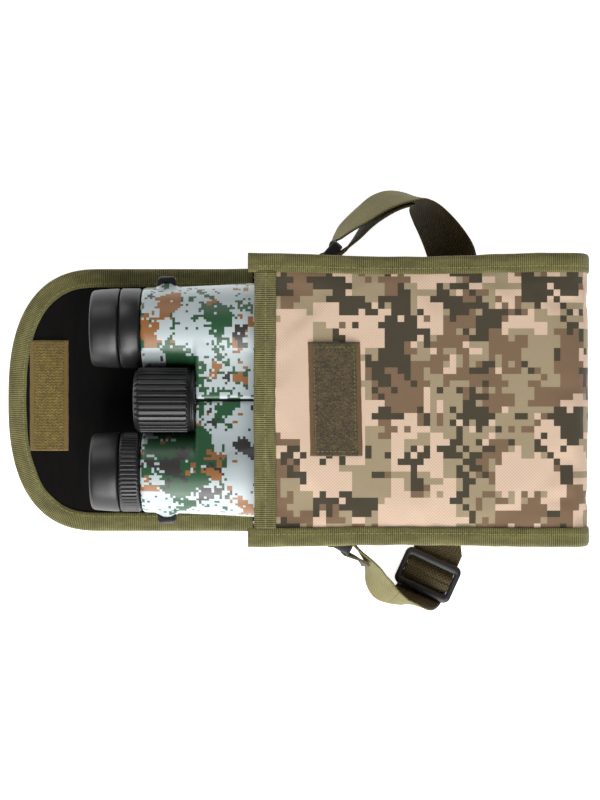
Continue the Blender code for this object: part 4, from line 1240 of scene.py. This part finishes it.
def side_tab(side, tag):
    y0, y1 = side * 66.0, side * 67.75
    bar = (RING_X[side], side * TAB_Y)
    st = [(Vector((38.0, y0, RING_Z)), UP, 1.0), (Vector((28.0, y0, RING_Z)), UP, 1.0), (Vector((bar[0] + 4.0, y0, RING_Z)), UP, 1.0)]
    st += [(Vector((bar[0] + LOOP_R * math.cos(a), bar[1] + side * LOOP_R * math.sin(a), RING_Z)), UP, 1.0)
           for a in [math.radians(-90 - 190 * k / 12) for k in range(13)]]
    st += [(Vector((bar[0] + 3.0, side * 71.2, RING_Z)), UP, 1.0), (Vector((bar[0] + 6.2, side * 68.6, RING_Z)), UP, 1.0), (Vector((bar[0] + 9.0, y1, RING_Z)), UP, 1.0),
           (Vector((30.0, y1, RING_Z)), UP, 1.0), (Vector((38.0, y1, RING_Z)), UP, 1.0)]
    ob, length, cs = web("ring_tab_" + tag, st, WEB, 300.0 * side, curved=False, flip=side * 1.0, step=0.9)
    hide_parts("side_tab_" + tag)
    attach(ob, "pouch")
    box = [(24.4, RING_Z - 10.6), (36.4, RING_Z - 10.6), (36.4, RING_Z + 10.6), (24.4, RING_Z + 10.6), (24.4, RING_Z - 10.6), (36.4, RING_Z + 10.6)]
    pts = []
    for (a, b), (c, d) in zip(box, box[1:]):
        n = int(math.hypot(c - a, d - b) / 1.2)
        pts += [(a + (c - a) * k / n, side * 68.5, b + (d - b) * k / n) for k in range(n)]
    th = stitches("ring_tab_thread_" + tag, pts, [(0, side, 0)] * len(pts), THREAD, 1.9, 0.6, 0.18, 0.06)
    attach(th, "pouch")


# ------------------------------------------------------- rings and slider
def rounded_rect(w, h, r, segs=6):
    pts = []
    for cx, cy, a0 in ((w / 2 - r, h / 2 - r, 0), (-w / 2 + r, h / 2 - r, 90), (-w / 2 + r, -h / 2 + r, 180), (w / 2 - r, -h / 2 + r, 270)):
        for k in range(segs + 1):
            a = math.radians(a0 + 90 * k / segs)
            pts.append((cx + r * math.cos(a), cy + r * math.sin(a)))
    return pts


def frame_rings(outer, inner, at, u, v, n, thick, soft=0.3, wide=0.0):
    at = Vector(at)
    sec = [(soft * 0.3, -1), (1 - soft * 0.3, -1), (1 - soft * 0.09, -1 + soft * 0.6), (1, -1 + soft * 1.4), (1, 1 - soft * 1.4), (1 - soft * 0.09, 1 - soft * 0.6),
           (1 - soft * 0.3, 1), (soft * 0.3, 1), (soft * 0.09, 1 - soft * 0.6), (0, 1 - soft * 1.4), (0, -1 + soft * 1.4), (soft * 0.09, -1 + soft * 0.6)]
    rings = []
    for (a, b), (c, d) in zip(outer, inner):
        o, i = at + u * a + v * b, at + u * c + v * d
        t = thick + wide * smooth01((abs(b) - 13.5) / 1.6)
        rings.append([tuple(i.lerp(o, f) + n * (t / 2 * g)) for f, g in sec])
    return rings


for side, tag in ((1, "left"), (-1, "right")):
    side_tab(side, tag)
    bar = ring_outer_bar(side)
    inner_bar = (RING_X[side], side * TAB_Y)
    u = Vector((bar[0] - inner_bar[0], bar[1] - inner_bar[1], 0)).normalized()
    n = u.cross(UP)
    mid = ((bar[0] + inner_bar[0]) / 2, (bar[1] + inner_bar[1]) / 2, RING_Z)
    o = loft("strap_ring_" + tag, frame_rings(rounded_rect(RING_BAR + 3.4, 33.4, 2.6), rounded_rect(RING_BAR - 3.4, 26.2, 0.8), mid, u, UP, n, 3.2, wide=2.2), PLASTIC, loop=True)
    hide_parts("ring_" + tag)
    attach(o, "ring_" + tag)

o = loft("slider_frame", frame_rings(rounded_rect(31.0, 20.4, 3.6), rounded_rect(25.2, 12.0, 1.0), (*SLIDER_AT, 3.2), SLIDER_ACROSS, SLIDER_DIR, UP, 3.0), PLASTIC, loop=True)
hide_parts("strap_slider")
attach(o, "strap_slider")
rings = []
for s in (-13.4, -13.2, -12.0, 0.0, 12.0, 13.2, 13.4):
    c = Vector((*SLIDER_AT, 2.25)) + SLIDER_ACROSS * s
    rings.append([tuple(c + SLIDER_DIR * (1.5 * math.cos(a)) + UP * (0.5 * math.sin(a))) for a in [2 * math.pi * k / 16 for k in range(16)]])
o = loft("slider_centre_bar", rings, PLASTIC)
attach(o, "strap_slider")


# --------------------------------------------------------------- binocular
PUSHED_IN[0] = 2.2     # the binocular is drawn out 2.2 mm less than its own zero


def evaluated(ob, name):
    """The mesh with its modifiers applied, as a new object."""
    dg = bpy.context.evaluated_depsgraph_get()
    me = bpy.data.meshes.new_from_object(ob.evaluated_get(dg))
    me.name = name
    out = bpy.data.objects.new(name, me)
    bpy.context.collection.objects.link(out)
    return out


def tool(name, rings):
    return loft(name, rings, PLASTIC, smooth=False)


def circle_rings(profile, y, z, segs):
    return [[(x, y + r * math.cos(2 * math.pi * k / segs), z + r * math.sin(2 * math.pi * k / segs)) for k in range(segs)] for x, r in profile]


def armour_half(side, tag, body):
    y = side * IPD / 2
    outer = [(-81.0, 18.9), (-80.9, 19.5), (-80.4, 20.1), (-79.4, 20.35), (-60.0, 20.9), (-40.0, 21.8), (-21.0, 22.8), (5.0, 24.4), (22.0, 25.1), (35.2, 25.1), (35.9, 24.6), (36.0, 23.9)]
    ob = tool("work_barrel", circle_rings(outer, y, AX_Z, 96))
    lean = 0.0 if side > 0 else 1.9
    bridge = [(0.4, 50.2), (6.0, 50.6), (13.0, 51.2), (18.0, 52.0), (22.0, 52.9), (26.0, 54.0), (30.0, 54.9), (30.0, 18.0), (20.0, 22.0), (12.0, 26.0), (0.5 + lean, 28.0)]
    tools = [(tool("work_bridge", [[(x, side * yy, zz) for yy, zz in bridge] for x in (-53.8, -18.6)]), "UNION")]
    for a, b in ((-18.2, -9.3), (0.6, 9.6)) if side > 0 else ((-9.0, 0.3),):
        outline = [(6.8 * math.cos(math.pi / 2 + math.pi * k / 16), PIVOT_Z + 6.8 * math.sin(math.pi / 2 + math.pi * k / 16)) for k in range(17)]
        outline += [(16.0, 38.0), (16.0, 50.0)]
        tools.append((tool("work_knuckle", [[(x, side * yy, zz) for yy, zz in outline] for x in (a, b)]), "UNION"))
    # a swelling round the carrying-strap bar
    hump = [(-74.6, 52.0), (-74.0, 56.2), (-72.4, 58.6), (-68.7, 59.3), (-65.0, 58.6), (-63.4, 56.2), (-62.8, 52.0)]
    tools.append((tool("work_hump", [[(x, side * (yy - dz), zz) for x, yy in hump] for zz, dz in ((27.0, 5.0), (29.5, 1.2), (32.0, 0.0), (37.0, 0.0), (39.5, 1.2), (42.0, 5.0))]), "UNION"))
    bore = [(-83.0, 14.6), (-73.0, 14.6), (-71.0, 18.3), (-20.0, 20.2), (20.0, 22.2), (38.0, 22.2)]
    tools.append((tool("work_bore", circle_rings(bore, y, AX_Z, 64)), "DIFFERENCE"))
    tools.append((tool("work_axle", circle_rings([(-60.0, 3.6), (14.0, 3.6)], 0, PIVOT_Z, 24)), "DIFFERENCE"))
    for t, op in tools:
        md = ob.modifiers.new(t.name, "BOOLEAN")
        md.operation = op
        md.object = t
        md.solver = "EXACT"
    rm = ob.modifiers.new("remesh", "REMESH")
    rm.mode = "VOXEL"
    rm.voxel_size = 0.0008
    rm.adaptivity = 0.0
    sm = ob.modifiers.new("smooth", "SMOOTH")
    sm.factor = 0.5
    sm.iterations = 5
    out = evaluated(ob, "armour_" + tag)
    for t, op in tools:
        bpy.data.objects.remove(t, do_unlink=True)
    bpy.data.objects.remove(ob, do_unlink=True)
    out.data.materials.clear()
    out.data.materials.append(ARMOUR)
    out.data.shade_smooth()
    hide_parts("barrel_" + tag)
    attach(out, body)


def rib_fn(count, depth, x0, x1, sharp=0.35, r_min=0.0, phase=0.0):
    """Lengthwise ribs between x0 and x1: flat-topped, with narrow grooves."""

    def f(a, x, r):
        if r < r_min or not x0 <= x <= x1:
            return 0.0
        edge = min(x - x0, x1 - x)
        s = 0.5 + 0.5 * math.cos(count * a + phase)
        groove = 1.0 - min(1.0, s / sharp) if s < sharp else 0.0
        return -depth * (groove ** 0.7) * smooth01(edge / 0.5)

    return f


for side, tag, parent in ((1, "left", "bino_left"), (-1, "right", "bino_right")):
    y = side * IPD / 2
    armour_half(side, tag, parent)
    cup = [(-106.0, 16.9), (-106.3, 17.3), (-106.3, 17.9), (-105.9, 18.5), (-105.2, 18.9), (-104.2, 19.15), (-101.0, 19.45), (-97.0, 19.75), (-93.4, 19.9), (-92.7, 19.75), (-92.3, 19.3), (-92.2, 18.6), (-92.0, 16.9),
           (-84.0, 16.9), (-84.0, 16.0), (-96.5, 16.0), (-96.5, 12.0), (-97.0, 11.9), (-98.0, 12.4), (-98.4, 13.2), (-102.0, 15.2), (-105.2, 16.5)]
    o = turned("eyecup_rubber_" + tag, cup, y, AX_Z, RUBBER_SOFT, 128, angle=40)
    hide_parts("eyecup_" + tag)
    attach(o, "eyecup_" + tag)
    ringp = [(-91.7, 17.3), (-91.7, 19.2), (-91.3, 19.75), (-90.6, 20.0), (-82.6, 20.0), (-82.0, 19.7), (-81.5, 19.2), (-81.4, 17.3)]
    if side > 0:
        o = turned("eyepiece_collar_left", ringp, y, AX_Z, RUBBER, 128, angle=40)
        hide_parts("eyepiece_ring_left")
        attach(o, "bino_left")
    else:
        ringp = [(-91.7, 17.3), (-91.7, 19.2), (-91.4, 19.7), (-90.9, 19.95), (-90.4, 20.05), (-89.9, 20.05), (-89.4, 20.05), (-83.6, 20.05), (-83.2, 20.05), (-82.7, 20.0), (-82.1, 19.7), (-81.5, 19.2), (-81.4, 17.3)]
        o = turned("diopter_grip", ringp, y, AX_Z, RUBBER, 448, rib_fn(56, 0.75, -90.9, -82.7, 0.45, 19.8))
        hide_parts("diopter_ring")
        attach(o, "diopter_ring")
    lens_p = []
    o = turned("objective_collar_" + tag, [(36.3, 20.7), (36.3, 24.3), (36.9, 24.8), (38.9, 24.8), (39.7, 24.4), (40.0, 23.6), (39.6, 21.6), (38.6, 20.7)], y, AX_Z, RUBBER, 96, angle=40)
    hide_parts("objective_ring_" + tag)
    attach(o, parent)
    for lname, node, x0, x1, r, bulge in (("eye_lens_", "ocular_lens_", -92.4, -89.4, 11.1, 1.0), ("front_lens_", "objective_lens_", 28.0, 32.5, 21.7, 1.6)):
        prof = [(x0 - bulge * (1 - (k / 8) ** 2), max(0.05, r * k / 8)) for k in range(9)] + [(x1 + bulge * (1 - (k / 8) ** 2), max(0.05, r * k / 8)) for k in reversed(range(9))]
        rings = circle_rings(prof, y, AX_Z, 64)
        o = loft(lname + tag, rings, GLASS, angle=50)
        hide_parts(node + tag)
        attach(o, parent)
    # carrying-strap bar, rounded
    lug = [(-73.2, 57.0), (-73.2, 60.2), (-72.6, 61.3), (-71.6, 61.8), (-65.8, 61.8), (-64.8, 61.3), (-64.2, 60.2), (-64.2, 57.0), (-66.2, 57.0), (-66.2, 59.2), (-66.6, 59.5), (-70.8, 59.5), (-71.2, 59.2), (-71.2, 57.0)]
    rings = []
    for z, k in ((30.0, 0.82), (30.25, 0.94), (30.8, 1.0), (38.2, 1.0), (38.75, 0.94), (39.0, 0.82)):
        rings.append([(-68.7 + (x + 68.7) * (0.9 + 0.1 * k), side * (57.0 + (yy - 57.0) * k), z) for x, yy in lug])
    o = loft("strap_bar_" + tag, rings, RUBBER, angle=40)
    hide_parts("strap_lug_" + tag)
    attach(o, parent)


def wheel():
    prof = [(-84.0, 4.0), (-84.2, 5.0), (-84.2, 13.4), (-84.0, 14.0), (-83.4, 14.6), (-82.7, 15.3), (-82.2, 15.9), (-81.6, 16.25), (-81.0, 16.3), (-80.4, 16.3), (-58.9, 16.3), (-58.3, 16.3), (-57.9, 16.2), (-57.6, 15.9),
            (-57.4, 15.7), (-56.2, 15.7), (-56.0, 15.2), (-55.7, 15.0), (-55.4, 15.2), (-55.2, 15.6), (-54.5, 15.6), (-54.2, 15.2), (-54.2, 4.0)]
    return turned("focus_grip", prof, 0, PIVOT_Z, RUBBER, 512, rib_fn(32, 1.0, -83.4, -57.7, 0.42, 14.4))


o = wheel()
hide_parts("focus_wheel")
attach(o, "focus_wheel")

# CAD pieces whose shape stays
for node, mat in (("hinge_axle", METAL), ("hinge_cap", RUBBER), ("prism_left", GLASS), ("prism_right", GLASS), ("focus_lens_left", GLASS), ("focus_lens_right", GLASS),
                  ("eyepiece_tube_left", METAL), ("eyepiece_tube_right", METAL), ("eyecup_sleeve_left", METAL), ("eyecup_sleeve_right", METAL)):
    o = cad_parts[node]
    for s in o.material_slots:
        s.material = mat


# ----------------------------------------------------------- floor and light
PUSHED_IN[0] = 0.0


def plane(name, size, z, mat):
    me = bpy.data.meshes.new(name)
    me.from_pydata([(-size, -size, z), (size, -size, z), (size, size, z), (-size, size, z)], [], [(0, 1, 2, 3)])
    me.materials.append(mat)
    ob = bpy.data.objects.new(name, me)
    bpy.context.collection.objects.link(ob)
    return ob


fm = Mat("pale_floor")
fm.set("Base Color", fm.mix(fm.noise(fm.place(), 60.0, 2.0), (0.93, 0.93, 0.93), (0.96, 0.96, 0.96))).set("Roughness", 0.9)
fm.set("Emission Color", (1, 1, 1)).set("Emission Strength", 0.85)
floor = plane("floor", 3.0, -0.0004, fm.m)


def area(name, loc, target, size, power, size_y=None):
    li = bpy.data.lights.new(name, "AREA")
    li.energy = power
    li.size = size
    if size_y:
        li.shape = "RECTANGLE"
        li.size_y = size_y
    ob = bpy.data.objects.new(name, li)
    bpy.context.collection.objects.link(ob)
    ob.location = loc
    ob.rotation_euler = (Vector(target) - Vector(loc)).to_track_quat("-Z", "Y").to_euler()
    return ob


area("high_soft", (0.1, -1.15, 1.35), (0, 0, 0), 1.0, 21)
area("near_soft", (0.0, -1.35, 0.62), (0, 0, 0.02), 1.0, 16, 0.4)
area("far_soft", (-0.6, 1.2, 0.8), (0, 0, 0.02), 0.9, 6)
world = bpy.data.worlds.new("world")
bpy.context.scene.world = world
world.use_nodes = True
world.node_tree.nodes["Background"].inputs[0].default_value = (1, 1, 1, 1)
world.node_tree.nodes["Background"].inputs[1].default_value = 0.15
bpy.context.scene.view_settings.view_transform = "Standard"
